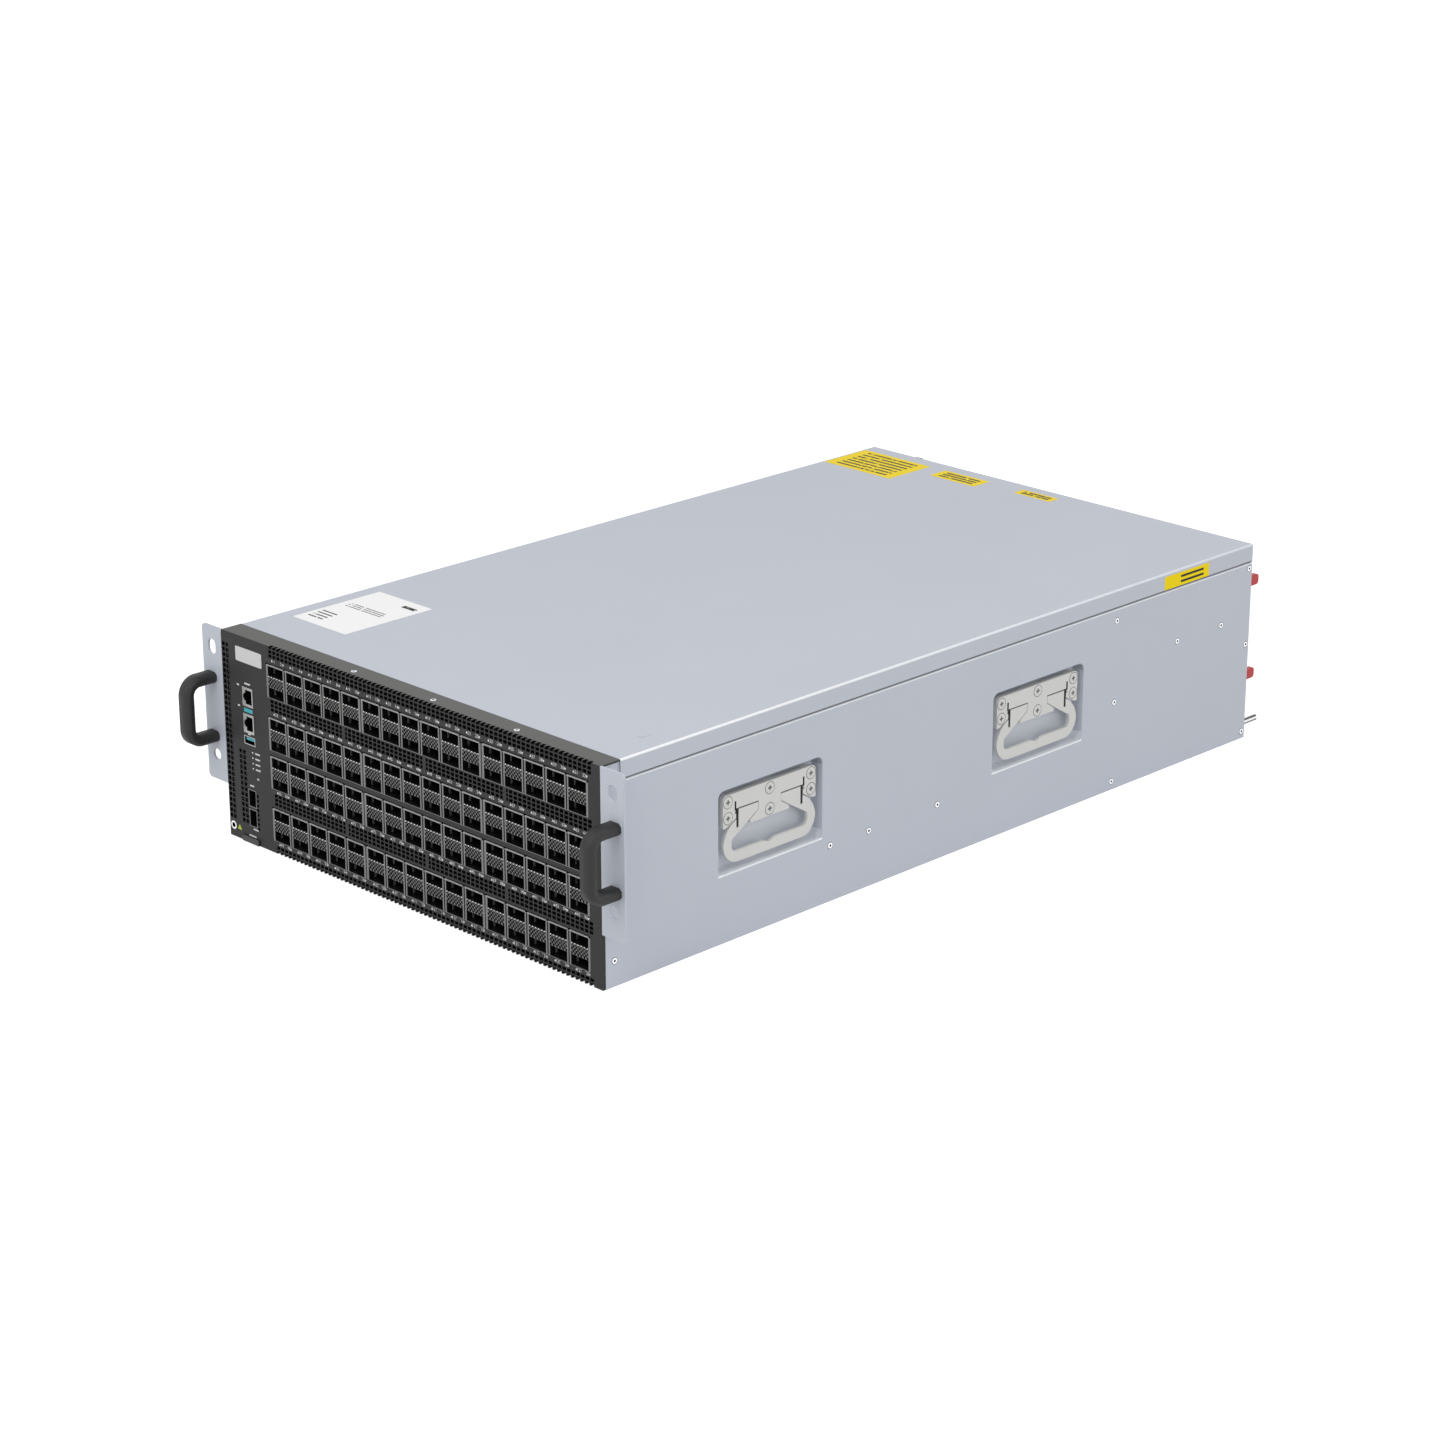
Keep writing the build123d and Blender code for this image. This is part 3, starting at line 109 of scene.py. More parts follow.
# The lid's seam, the handles' pockets and hinges, and the ground stud, also from the construction
SEAM_Z = 159.2 * MM
POCKET_SETBACKS = (174.7 * MM, 484.0 * MM)
POCKET_HALF = 56.0 * MM
POCKET_FOOT = 55.05 * MM
POCKET_HEAD = 122.55 * MM
POCKET_DEPTH = 11.0 * MM
POCKET_TAPER = 7.2 * MM
HINGE_Z = 102.3 * MM
STUD = (211.1 * MM, 9.8 * MM)

# Colours in linear light
PALETTE = {
    "chassis_paint": (0.53, 0.565, 0.635),
    "bezel_paint": (0.029, 0.029, 0.030),
    "grip_coat": (0.028, 0.028, 0.029),
    "cage": (0.19, 0.19, 0.188),
    # Painted highlight on the cages' lips
    "lip": (0.36, 0.36, 0.355),
    "spacer": (0.15, 0.15, 0.148),
    # White of the painted glints along the spacers' top edges
    "dot": (0.9, 0.9, 0.89),
    # Painted light on the front cover's top
    "flange": (0.105, 0.105, 0.102),
    # White of the painted highlights on the chassis, and the case screws' own steel
    "fold": (0.95, 0.96, 0.99),
    # Painted shade at the foot of the lid's skirt and round the bracket screws
    "seam": (0.10, 0.105, 0.115),
    # Painted shade of the lid's pressed mark
    "lance": (0.36, 0.385, 0.43),
    "finger": (0.20, 0.20, 0.20),
    "nickel": (0.42, 0.42, 0.41),
    "bright_nickel": (0.80, 0.80, 0.79),
    "plate": (0.64, 0.64, 0.64),
    "black": (0.012, 0.012, 0.013),
    # Painted shade in holes, cages, slots and screw drives
    "cavity": (0.004, 0.004, 0.004),
    "bracket": (0.68, 0.68, 0.66),
    "zinc": (0.50, 0.51, 0.51),
    "board": (0.02, 0.10, 0.045),
    "red": (0.52, 0.012, 0.022),
    "teal": (0.045, 0.42, 0.52),
    "yellow": (0.92, 0.70, 0.0),
    "paper": (0.95, 0.95, 0.95),
    "ink": (0.02, 0.02, 0.02),
    "white_ink": (0.72, 0.72, 0.72),
    "lime": (0.45, 0.62, 0.02),
}


def tint(key):
    """The palette's colour, or the user's where the panel offers it."""
    return tuple(getattr(bpy.context.scene.switch_colours, key, PALETTE[key]))


class Value:
    """A shader value. Arithmetic on it adds Math nodes to its material."""

    def __init__(self, tree, socket):
        self.tree = tree
        self.socket = socket

    def maths(self, operation, *operands):
        node = self.tree.nodes.new("ShaderNodeMath")
        node.operation = operation
        for entry, operand in zip(node.inputs, operands):
            feed(self.tree, entry, operand)
        return Value(self.tree, node.outputs[0])

    def __add__(self, other):
        return self.maths("ADD", self, other)

    __radd__ = __add__

    def __sub__(self, other):
        return self.maths("SUBTRACT", self, other)

    def __rsub__(self, other):
        return self.maths("SUBTRACT", other, self)

    def __mul__(self, other):
        return self.maths("MULTIPLY", self, other)

    __rmul__ = __mul__

    def __gt__(self, other):
        return self.maths("GREATER_THAN", self, other)

    def __lt__(self, other):
        return self.maths("LESS_THAN", self, other)

    def __abs__(self):
        return self.maths("ABSOLUTE", self)

    def fract(self):
        return self.maths("FRACT", self)

    def between(self, low, high):
        return (self > low) * (self < high)

    def most(self, *others):
        """The greatest of this value and the others."""
        greatest = self
        for other in others:
            greatest = self.maths("MAXIMUM", greatest, other)
        return greatest


def feed(tree, entry, value):
    """Links a shader value to a socket, or sets the socket to a plain number or colour."""
    if isinstance(value, Value):
        tree.links.new(value.socket, entry)
    else:
        entry.default_value = value


def seen(tree):
    """1 for rays from the camera and those that metal and glass pass on, and 0 for light."""
    path = tree.nodes.new("ShaderNodeLightPath")
    camera, glossy, through = (
        Value(tree, path.outputs[f"Is {kind} Ray"]) for kind in ("Camera", "Glossy", "Transmission")
    )
    return camera.most(glossy, through)


class Finish:
    """A node material round one Principled surface, patterned on Object coordinates."""

    def __init__(self, name, colour, roughness, metallic=0.0):
        self.material = bpy.data.materials.new(name)
        self.material.use_nodes = True
        self.tree = self.material.node_tree
        self.surface = self.tree.nodes["Principled BSDF"]
        self.colour = (*colour, 1.0)
        self.wear("Base Color", self.colour)
        self.wear("Roughness", roughness)
        self.wear("Metallic", metallic)
        self.place = self.node("ShaderNodeTexCoord", output="Object")

    def wear(self, entry, value):
        feed(self.tree, self.surface.inputs[entry], value)

    def node(self, kind, settings=None, values=None, output=0):
        """A node with its settings made first, then its sockets filled or linked."""
        node = self.tree.nodes.new(kind)
        for setting, choice in (settings or {}).items():
            if setting == "stops":
                for element, (position, colour) in zip(node.color_ramp.elements, choice):
                    element.position = position
                    element.color = colour
            else:
                setattr(node, setting, choice)
        for entry, value in (values or {}).items():
            feed(self.tree, node.inputs[entry], value)
        return Value(self.tree, node.outputs[output])

    def noise(self, scale, detail=2.0, stretch=(1, 1, 1)):
        spread = self.node("ShaderNodeMapping", values={"Vector": self.place, "Scale": stretch})
        return self.node("ShaderNodeTexNoise", values={"Vector": spread, "Scale": scale, "Detail": detail})

    def axes(self):
        split = self.tree.nodes.new("ShaderNodeSeparateXYZ")
        feed(self.tree, split.inputs[0], self.place)
        return [Value(self.tree, split.outputs[n]) for n in range(3)]

    def mixed(self, mask, first, second):
        """The first colour where mask is 0 and the second where it is 1."""
        return self.node("ShaderNodeMix", {"data_type": "RGBA"}, {0: mask, 6: first, 7: second}, output=2)

    def bump(self, height, strength, distance):
        relief = self.node(
            "ShaderNodeBump", values={"Strength": strength, "Distance": distance, "Height": height}
        )
        self.wear("Normal", relief)

    def vary(self, mask, depth):
        """Darkens the colour by up to depth where mask is 1, and gives the shade."""
        darker = tuple(c * (1 - depth) for c in self.colour[:3]) + (1.0,)
        shade = self.mixed(mask, self.colour, darker)
        self.wear("Base Color", shade)
        return shade


def powder_coat(name, colour, roughness, grain=2600.0, depth=0.12, gleam=0.5):
    """Baked powder paint: a fine orange peel under a soft sheen."""
    coat = Finish(name, colour, roughness)
    coat.wear("Specular IOR Level", gleam)
    peel = coat.noise(grain, 1.5)
    coat.bump(peel, depth, 0.0002)
    coat.shade = coat.vary(coat.noise(9.0), 0.05)
    coat.wear("Roughness", roughness + 0.12 * (coat.noise(grain / 4) - 0.5))
    return coat


def chassis_finish():
    """Chassis paint with painted highlights on its folds, just below the lid and on the pockets' lower rims,
    painted light on the pockets' lower walls and floors, and painted shade on their upper walls and at the
    foot of the lid's skirt.
    """
    coat = powder_coat("chassis_paint", tint("chassis_paint"), 0.48)
    x, y, z = coat.axes()
    proud = 0.2 * MM
    sheet = 0.8 * MM
    floor = POCKET_DEPTH - 0.6 * MM
    sunk = SIDE - abs(x)
    # The painted highlight on the folds fades towards the rear
    highlight_fade = 1.0 - 0.6 / (REAR - FRONT) * (y - FRONT)
    skin = sunk.between(-proud, sheet)
    # fold: painted highlight along the lid's bends
    fold = (sunk + (TOP - z) < 1.5 * MM) * (sunk > -proud)
    # step: painted highlight just below the lid; the next mask: painted shade at the foot of the lid's skirt
    step = skin * z.between(SEAM_Z - 1.5 * MM, SEAM_Z + 0.05 * MM)
    seam = skin * z.between(SEAM_Z + 0.05 * MM, SEAM_Z + 1.2 * MM)
    beside = sum((abs(y - FRONT - setback) < POCKET_HALF for setback in POCKET_SETBACKS), 0.0)
    # rim: painted highlight along the pockets' lower rims
    rim = skin * beside * z.between(POCKET_FOOT - 0.9 * MM, POCKET_FOOT + 0.7 * MM)
    pocket = beside * z.between(POCKET_FOOT - MM, POCKET_HEAD + MM)
    wall = pocket * sunk.between(sheet, floor)
    # The pockets' lower walls and the band at their floors (back) get painted light, their upper walls
    # painted shade
    sill_painted_light = wall * (z < POCKET_FOOT + POCKET_TAPER)
    hood_painted_shade = wall * (z > POCKET_HEAD - POCKET_TAPER)
    back = pocket * sunk.between(floor, floor + 1.2 * MM)
    # White of the painted highlights and of the painted light in the pockets
    bright = (*tint("fold"), 1)
    shade = coat.mixed(hood_painted_shade, coat.shade, (*(c * 0.7 for c in coat.colour[:3]), 1))
    shade = coat.mixed(sill_painted_light * 0.45 + back * 0.25, shade, bright)
    shade = coat.mixed(seam, shade, (*tint("seam"), 1))
    painted_highlight = (fold * highlight_fade).most(step * 0.8, rim)
    coat.wear("Base Color", coat.mixed(painted_highlight, shade, bright))
    return coat


def bezel_finish():
    """Dark cover paint, lighter on its top as painted light, the walls of its vent holes painted near black
    as shade.
    """
    coat = powder_coat("bezel_paint", tint("bezel_paint"), 0.5, gleam=0.2)
    x, y, z = coat.axes()
    # walls: painted shade in the vent holes; the next mask: painted light on the cover's top
    walls = (y > FRONT + 0.35 * MM) * z.between(0.5 * MM, TOP - 0.45 * MM) * (abs(x) < SIDE - 0.6 * MM)
    flange = (z > TOP - 0.3 * MM) * (y > FRONT + 0.6 * MM)
    shade = coat.mixed(flange, coat.shade, (*tint("flange"), 1))
    coat.wear("Base Color", coat.mixed(walls, shade, (*tint("cavity"), 1)))
    return coat


def stud_finish():
    """A polished rod with a painted reflection: dark bands above and below its middle."""
    rod = plated_metal("stud_steel", tint("bright_nickel"), 0.15)
    x, y, z = rod.axes()
    height = 0.94 * (z - STUD[1]) - 0.24 * (x - STUD[0])
    # Painted reflection: dark bands above and below the rod's middle, on the part out the back
    painted_reflection = abs(height).between(0.9 * MM, 2.4 * MM) * (y > REAR)
    rod.wear("Base Color", rod.mixed(painted_reflection, rod.colour, (*tint("bezel_paint"), 1)))
    rod.wear("Metallic", 1 - painted_reflection)
    return rod


def plated_metal(name, colour, roughness, stretch=(1, 1, 1)):
    """Plated sheet or casting, its gloss broken by faint rolling marks."""
    plate = Finish(name, colour, roughness, 1.0)
    marks = plate.noise(900.0, 3.0, stretch)
    plate.wear("Roughness", roughness + 0.18 * (marks - 0.5))
    plate.bump(marks, 0.06, 0.0002)
    plate.vary(plate.noise(30.0), 0.1)
    return plate


def moulding(name, colour, roughness):
    """Moulded plastic with a fine spark-eroded grain."""
    plastic = Finish(name, colour, roughness)
    grain = plastic.noise(3200.0, 2.0)
    plastic.bump(grain, 0.15, 0.0002)
    plastic.wear("Roughness", roughness + 0.1 * (plastic.noise(160.0) - 0.5))
    plastic.vary(plastic.noise(60.0), 0.08)
    return plastic


def darkened_inside(plate, start):
    """Plated sheet whose faces behind start are painted near black as shade, as deep in a cage."""
    depth = plate.axes()[1]
    inside_painted_shade = depth > start
    plate.wear("Base Color", plate.mixed(inside_painted_shade, plate.colour, (*tint("cavity"), 1)))
    plate.wear("Metallic", 1 - inside_painted_shade)
    return plate


def cage_finish():
    """Plated cage, painted near black as shade deep in it, and lighter as a painted highlight on the lips
    that stand out of the cover.
    """
    plate = plated_metal("cage_nickel", tint("cage"), 0.42)
    depth = plate.axes()[1]
    # Faces deep in the cage get painted shade, the lips a painted highlight
    inside_painted_shade = depth > FRONT + 0.4 * MM
    lip = depth < FRONT - 0.02 * MM
    front = plate.mixed(lip, plate.colour, (*tint("lip"), 1))
    plate.wear("Base Color", plate.mixed(inside_painted_shade, front, (*tint("cavity"), 1)))
    plate.wear("Metallic", (1 - inside_painted_shade) * (1 - lip))
    return plate


def usb_finish():
    """Bright shell with a teal tongue in its mouth, the mouth's faces painted dark as shade."""
    shell = plated_metal("usb_shell", tint("nickel"), 0.35)
    x, y, z = shell.axes()
    middle_x = (USB_LOW.x + USB_HIGH.x) / 2
    tongue_z = (USB_LOW.z + USB_HIGH.z) / 2 + 0.9 * MM
    # Faces in the mouth get painted shade
    inside_painted_shade = y > FRONT + 0.2 * MM
    half_width, half_height = 5.5 * MM, 1.1 * MM
    tongue = inside_painted_shade * (abs(x - middle_x) < half_width) * (abs(z - tongue_z) < half_height)
    dark = shell.mixed(inside_painted_shade, shell.colour, (*tint("cavity"), 1))
    shell.wear("Base Color", shell.mixed(tongue, dark, (*tint("teal"), 1)))
    shell.wear("Metallic", 1 - inside_painted_shade)
    return shell


def supply_finish():
    """Zinc casing whose loop handle, behind the rear face, is a black moulding."""
    casing = plated_metal("supply_zinc", tint("zinc"), 0.4)
    x, y, z = casing.axes()
    behind = y > REAR + 1.0 * MM
    casing.wear("Base Color", casing.mixed(behind, casing.colour, (*tint("black"), 1)))
    casing.wear("Metallic", 1 - behind)
    return casing


def board_finish():
    """Green solder mask with faint routed tracks, painted black as shade just behind the cover's vents."""
    mask = Finish("solder_mask", tint("board"), 0.35)
    x, y, z = mask.axes()
    tracks_per_metre = 400.0
    tracks = (abs((x * tracks_per_metre).fract() - 0.5) < 0.12) * (mask.noise(25.0) > 0.5)
    shade = mask.vary(tracks, 0.45)
    # Painted shade on the board just behind the vents
    behind_vents_painted_shade = y < FRONT + 15.0 * MM
    mask.wear("Base Color", mask.mixed(behind_vents_painted_shade, shade, (*tint("cavity"), 1)))
    mask.bump(tracks, 0.3, 0.0001)
    return mask


def printed_label(name, paper, ink, bars):
    """Paper with plain bars in place of print.

    Each bar is its two axes, its middle along both and its half sizes.
    """
    label = Finish(name, paper, 0.5)
    label.wear("Specular IOR Level", 0.15)
    x, y, z = label.axes()
    breaks = label.noise(220.0, 2.0, (1, 1, 0.2)) > 0.38
    printed = []
    for u_axis, v_axis, u, v, half_u, half_v in bars:
        across = (x, y, z)[u_axis]
        along = (x, y, z)[v_axis]
        printed.append((abs(across - u) < half_u) * (abs(along - v) < half_v))
    ink_mask = printed[0].most(*printed[1:])
    label.wear("Base Color", label.mixed(ink_mask * breaks, label.colour, (*ink, 1)))
    label.bump(label.noise(1500.0), 0.03, 0.0001)
    return label


FINISHES = {}


def make_finishes():
    """Every finish, under the name of the record's material slot or of the piece that wears it."""
    FINISHES.update(
        chassis_paint=chassis_finish(),
        bezel_paint=bezel_finish(),
        grip_coat=powder_coat("grip_coat", tint("grip_coat"), 0.52, 1800.0, 0.2, 0.3),
        cage_nickel=cage_finish(),
        spacer_nickel=darkened_inside(
            plated_metal("spacer_nickel", tint("spacer"), 0.38), FRONT + 0.05 * MM
        ),
        dot_nickel=moulding("dot_nickel", tint("dot"), 0.3),
        finger_nickel=moulding("finger_nickel", tint("finger"), 0.5),
        seam_grey=moulding("seam_grey", tint("seam"), 0.6),
        lance_shade=moulding("lance_shade", tint("lance"), 0.6),
        connector_black=moulding("connector_black", tint("black"), 0.5),
        jack_shield=darkened_inside(plated_metal("jack_shield", tint("nickel"), 0.35), FRONT + 0.1 * MM),
        usb_shell=usb_finish(),
        stud_steel=stud_finish(),
        bracket_zinc=powder_coat("bracket_zinc", tint("bracket"), 0.45),
        bail_zinc=powder_coat("bail_zinc", tint("bracket"), 0.4),
        board_green=board_finish(),
        chip_lid=plated_metal("chip_lid", tint("zinc"), 0.35),
        sink_aluminium=plated_metal("sink_aluminium", tint("zinc"), 0.35, (1, 0.1, 1)),
        frame_zinc=plated_metal("frame_zinc", tint("zinc"), 0.4),
        module_zinc=supply_finish(),
        rotor_black=moulding("rotor_black", tint("black"), 0.4),
        latch_red=moulding("latch_red", tint("red"), 0.35),
        latch_black=moulding("latch_black", tint("black"), 0.4),
        tag_grey=moulding("tag_grey", tint("bezel_paint"), 0.45),
        screw_steel=plated_metal("screw_steel", tint("fold"), 0.25),
        slot_shadow=moulding("slot_shadow", tint("cavity"), 0.9),
        silver_plate=powder_coat("silver_plate", tint("plate"), 0.4),
        white_ink=moulding("white_ink", tint("white_ink"), 0.6),
        teal_strip=moulding("teal_strip", tint("teal"), 0.5),
        lime_mark=moulding("lime_mark", tint("lime"), 0.5),
    )


def deselect():
    """Leaves edit mode and clears the selection, so that the next operator acts on its own piece."""
    if bpy.context.mode != "OBJECT":
        bpy.ops.object.mode_set(mode="OBJECT")
    bpy.ops.object.select_all(action="DESELECT")


def choose(*pieces):
    deselect()
    for piece in pieces:
        piece.select_set(True)
    bpy.context.view_layer.objects.active = pieces[0]


def settle(piece):
    """Moves a piece's place, turn and size into its mesh."""
    choose(piece)
    bpy.ops.object.transform_apply(location=True, rotation=True, scale=True)
    return piece


def named(name):
    piece = bpy.context.object
    piece.name = name
    piece.data.name = name
    return piece


def block(name, low, high):
    """A closed block between two corners, the start of a piece or a cutter."""
    deselect()
    low, high = Vector(low), Vector(high)
    bpy.ops.mesh.primitive_cube_add(size=1, location=(low + high) / 2, scale=high - low)
    return settle(named(name))


def disc(name, radius, depth, middle, facing, sides=24):
    """A closed disc with its middle and facing given."""
    deselect()
    turn = Vector(facing).to_track_quat("Z", "Y").to_euler()
    bpy.ops.mesh.primitive_cylinder_add(
        vertices=sides, radius=radius, depth=depth, location=middle, rotation=turn
    )
    return settle(named(name))


def apply_modifier(piece, kind, **settings):
    choose(piece)
    modifier = piece.modifiers.new(kind.title(), kind)
    for setting, choice in settings.items():
        setattr(modifier, setting, choice)
    bpy.ops.object.modifier_apply(modifier=modifier.name)
    return piece


def row_of(piece, count, step):
    """Repeats a piece along step, count times in all."""
    return apply_modifier(
        piece,
        "ARRAY",
        count=count,
        use_relative_offset=False,
        use_constant_offset=True,
        constant_offset_displace=Vector(step),
    )


def soften(piece, width, segments=2, angle=40.0):
    return apply_modifier(
        piece, "BEVEL", width=width, segments=segments, limit_method="ANGLE", angle_limit=radians(angle)
    )


def cut(piece, cutter):
    """Takes cutter away from piece and deletes it."""
    apply_modifier(piece, "BOOLEAN", operation="DIFFERENCE", solver="MANIFOLD", object=cutter)
    choose(cutter)
    bpy.ops.object.delete()
    return piece


def joined(name, pieces):
    choose(*pieces)
    bpy.ops.object.join()
    return named(name)


def repeated(name, master, places):
    """Copies of master at each place, each with its own mesh, joined into one piece."""
    copies = []
    for place in places:
        choose(master)
        bpy.ops.object.duplicate()
        copy = bpy.context.object
        copy.matrix_world = place
        settle(copy)
        copies.append(copy)
    choose(master)
    bpy.ops.object.delete()
    return joined(name, copies)


def finish_piece(piece, finish, body="chassis", smooth=35):
    """Gives a piece its finish and its body, smooth over edges of up to so many degrees."""
    piece.data.materials.clear()
    piece.data.materials.append(FINISHES[finish].material)
    choose(piece)
    bpy.ops.object.shade_smooth_by_angle(angle=radians(smooth))
    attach(piece, body)
    return piece


def copied_node(name, node):
    """A copy of a CAD node's mesh, its loose triangles merged."""
    deselect()
    source = frame["nodes"][node]
    piece = source.copy()
    piece.data = source.data.copy()
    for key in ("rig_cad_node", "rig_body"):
        if key in piece:
            del piece[key]
    piece.parent = None
    bpy.context.scene.collection.objects.link(piece)
    choose(piece)
    bpy.ops.object.mode_set(mode="EDIT")
    bpy.ops.mesh.select_all(action="SELECT")
    bpy.ops.mesh.remove_doubles(threshold=0.000001)
    bpy.ops.object.mode_set(mode="OBJECT")
    bpy.ops.mesh.customdata_custom_splitnormals_clear()
    return named(name)


def column_centres():
    """Middle of every port column, from the left."""
    centres = []
    left = SPACER_LOW.x
    for count in GANGS:
        centres += [left + PORT_WIDTH / 2 + n * PORT_PITCH for n in range(count)]
        left += count * PORT_PITCH + GANG_GAP
    return centres


class SwitchSizes(bpy.types.PropertyGroup):
    """Sizes of the pieces that are modelled here."""

    vent_width: bpy.props.FloatProperty(
        name="Vent width", description="Width of a vent hole", default=3.9 * MM, unit="LENGTH"
    )
    vent_height: bpy.props.FloatProperty(
        name="Vent height", description="Height of a vent hole", default=2.7 * MM, unit="LENGTH"
    )
    vent_pitch: bpy.props.FloatProperty(
        name="Vent pitch", description="Step from hole to hole in a band", default=5.016 * MM, unit="LENGTH"
    )
    dot_radius: bpy.props.FloatProperty(
        name="Dot radius", description="Radius of a hole between ports", default=1.15 * MM, unit="LENGTH"
    )
    dot_pitch: bpy.props.FloatProperty(
        name="Dot pitch", description="Step between those holes", default=3.38 * MM, unit="LENGTH"
    )
    screw_radius: bpy.props.FloatProperty(
        name="Screw radius", description="Radius of a case screw's head", default=2.4 * MM, unit="LENGTH"
    )
    digit_height: bpy.props.FloatProperty(
        name="Digit height", description="Height of a port number", default=2.7 * MM, unit="LENGTH"
    )


def paint(key, label, description):
    """A colour that a user would change, with the palette's as its default."""
    return bpy.props.FloatVectorProperty(
        name=label, description=description, default=PALETTE[key], subtype="COLOR", min=0.0, max=1.0
    )


class SwitchColours(bpy.types.PropertyGroup):
    """Colours of the finishes that show most."""

    chassis_paint: paint("chassis_paint", "Chassis", "Powder paint of the lid and the tray")
    bezel_paint: paint("bezel_paint", "Front cover", "Powder paint of the front cover")
    grip_coat: paint("grip_coat", "Grips", "Coat of the ear handles and the carry handles")
    plate: paint("plate", "Name plate", "Paint of the blank name plate")
    red: paint("red", "Fan levers", "Plastic of the fan modules' release levers")
    yellow: paint("yellow", "Labels", "Paper of the coloured labels")


class SWITCH_OT_finishes(bpy.types.Operator):
    """Give every piece of the construction its finish"""

    bl_idname = "switch.finishes"
    bl_label = "Finishes"

    def execute(self, context):
        make_finishes()
        for part in frame["record"]["subparts"]:
            node = frame["nodes"][part["node"]]
            material = FINISHES[part["material_slot"]].material
            if not node.material_slots:
                node.data.materials.append(material)
            for slot in node.material_slots:
                slot.material = material
        return {"FINISHED"}


class SWITCH_OT_vented_cover(bpy.types.Operator):
    """Cut the vent bands through a copy of the front cover"""

    bl_idname = "switch.vented_cover"
    bl_label = "Vented front cover"

    band_left = -157.6 * MM
    band_columns = 74
    band_bottoms = ((167.3, 3.5, 2), (122.5, 3.5, 3), (43.0, 3.5, 3), (5.4, 3.4, 1))
    wrapped_top = 2.0 * MM
    wrapped_foot = 3.1 * MM
    wrapped_reach = 3.8 * MM
    solid_spots = (-69.7 * MM, 25.6 * MM, 116.3 * MM)
    solid_width = 3.75 * MM
    side_columns = ((-217.2, 18.0, 33), (-212.6, 18.0, 33), (-201.1, 18.0, 14), (-196.4, 18.0, 14))
    side_pitch = 4.56 * MM
    side_width = 3.6 * MM
    side_height = 3.4 * MM
    small_column = (-181.9, 15.0, 8)
    small_pitch = 4.0 * MM
    small_width = 2.4 * MM
    small_height = 2.6 * MM

    def hole(self, name, x, width, foot, head, far=FRONT + 2.2 * MM):
        """A cutter through the cover's face."""
        return block(name, (x - width / 2, FRONT - MM, foot), (x + width / 2, far, head))

    def band(self, width, half, pitch, bottom, step, rows):
        """A band of holes across the ports. Three rows leave out the holes where screws hold."""
        holes = self.hole("vent_holes", self.band_left, width, bottom * MM - half, bottom * MM + half)
        row_of(holes, self.band_columns, (pitch, 0, 0))
        row_of(holes, rows, (0, 0, step * MM))
        if rows == 3:
            foot, head = (bottom - 5) * MM, (bottom + 12) * MM
            for spot in self.solid_spots:
                low = (spot - self.solid_width / 2, FRONT - 2 * MM, foot)
                high = (spot + self.solid_width / 2, FRONT + 3.2 * MM, head)
                cut(holes, block("solid_spot", low, high))
        return holes

    def execute(self, context):
        sizes = context.scene.switch_sizes
        width, half, pitch = sizes.vent_width, sizes.vent_height / 2, sizes.vent_pitch
        cover = copied_node("front_cover", "front_bezel")
        cutters = [self.band(width, half, pitch, *band) for band in self.band_bottoms]
        for foot, head in (
            (TOP - self.wrapped_top, TOP + MM),
            (CAD_LOW.z - MM, CAD_LOW.z + self.wrapped_foot),
        ):
            holes = self.hole("wrapped_holes", self.band_left, width, foot, head, FRONT + self.wrapped_reach)
            cutters.append(row_of(holes, self.band_columns, (pitch, 0, 0)))
        side = (self.side_width, self.side_height, self.side_pitch)
        small = (self.small_width, self.small_height, self.small_pitch)
        columns = [(column, side) for column in self.side_columns] + [(self.small_column, small)]
        for (x, z, count), (width, height, step) in columns:
            holes = self.hole("side_vents", x * MM, width, z * MM - height / 2, z * MM + height / 2)
            cutters.append(row_of(holes, count, (0, 0, step)))
        cut(cover, joined("all_vents", cutters))
        finish_piece(cover, "bezel_paint")
        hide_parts("front_bezel")
        return {"FINISHED"}


class SWITCH_OT_round_grips(bpy.types.Operator):
    """Shade the bevelled bars of the ear handles smooth, so that they look round"""

    bl_idname = "switch.round_grips"
    bl_label = "Ear handles"

    def execute(self, context):
        for hand in ("left", "right"):
            grip = copied_node(f"{hand}_grip", f"{hand}_ear_handle")
            finish_piece(grip, "grip_coat", smooth=52)
            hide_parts(f"{hand}_ear_handle")
        return {"FINISHED"}


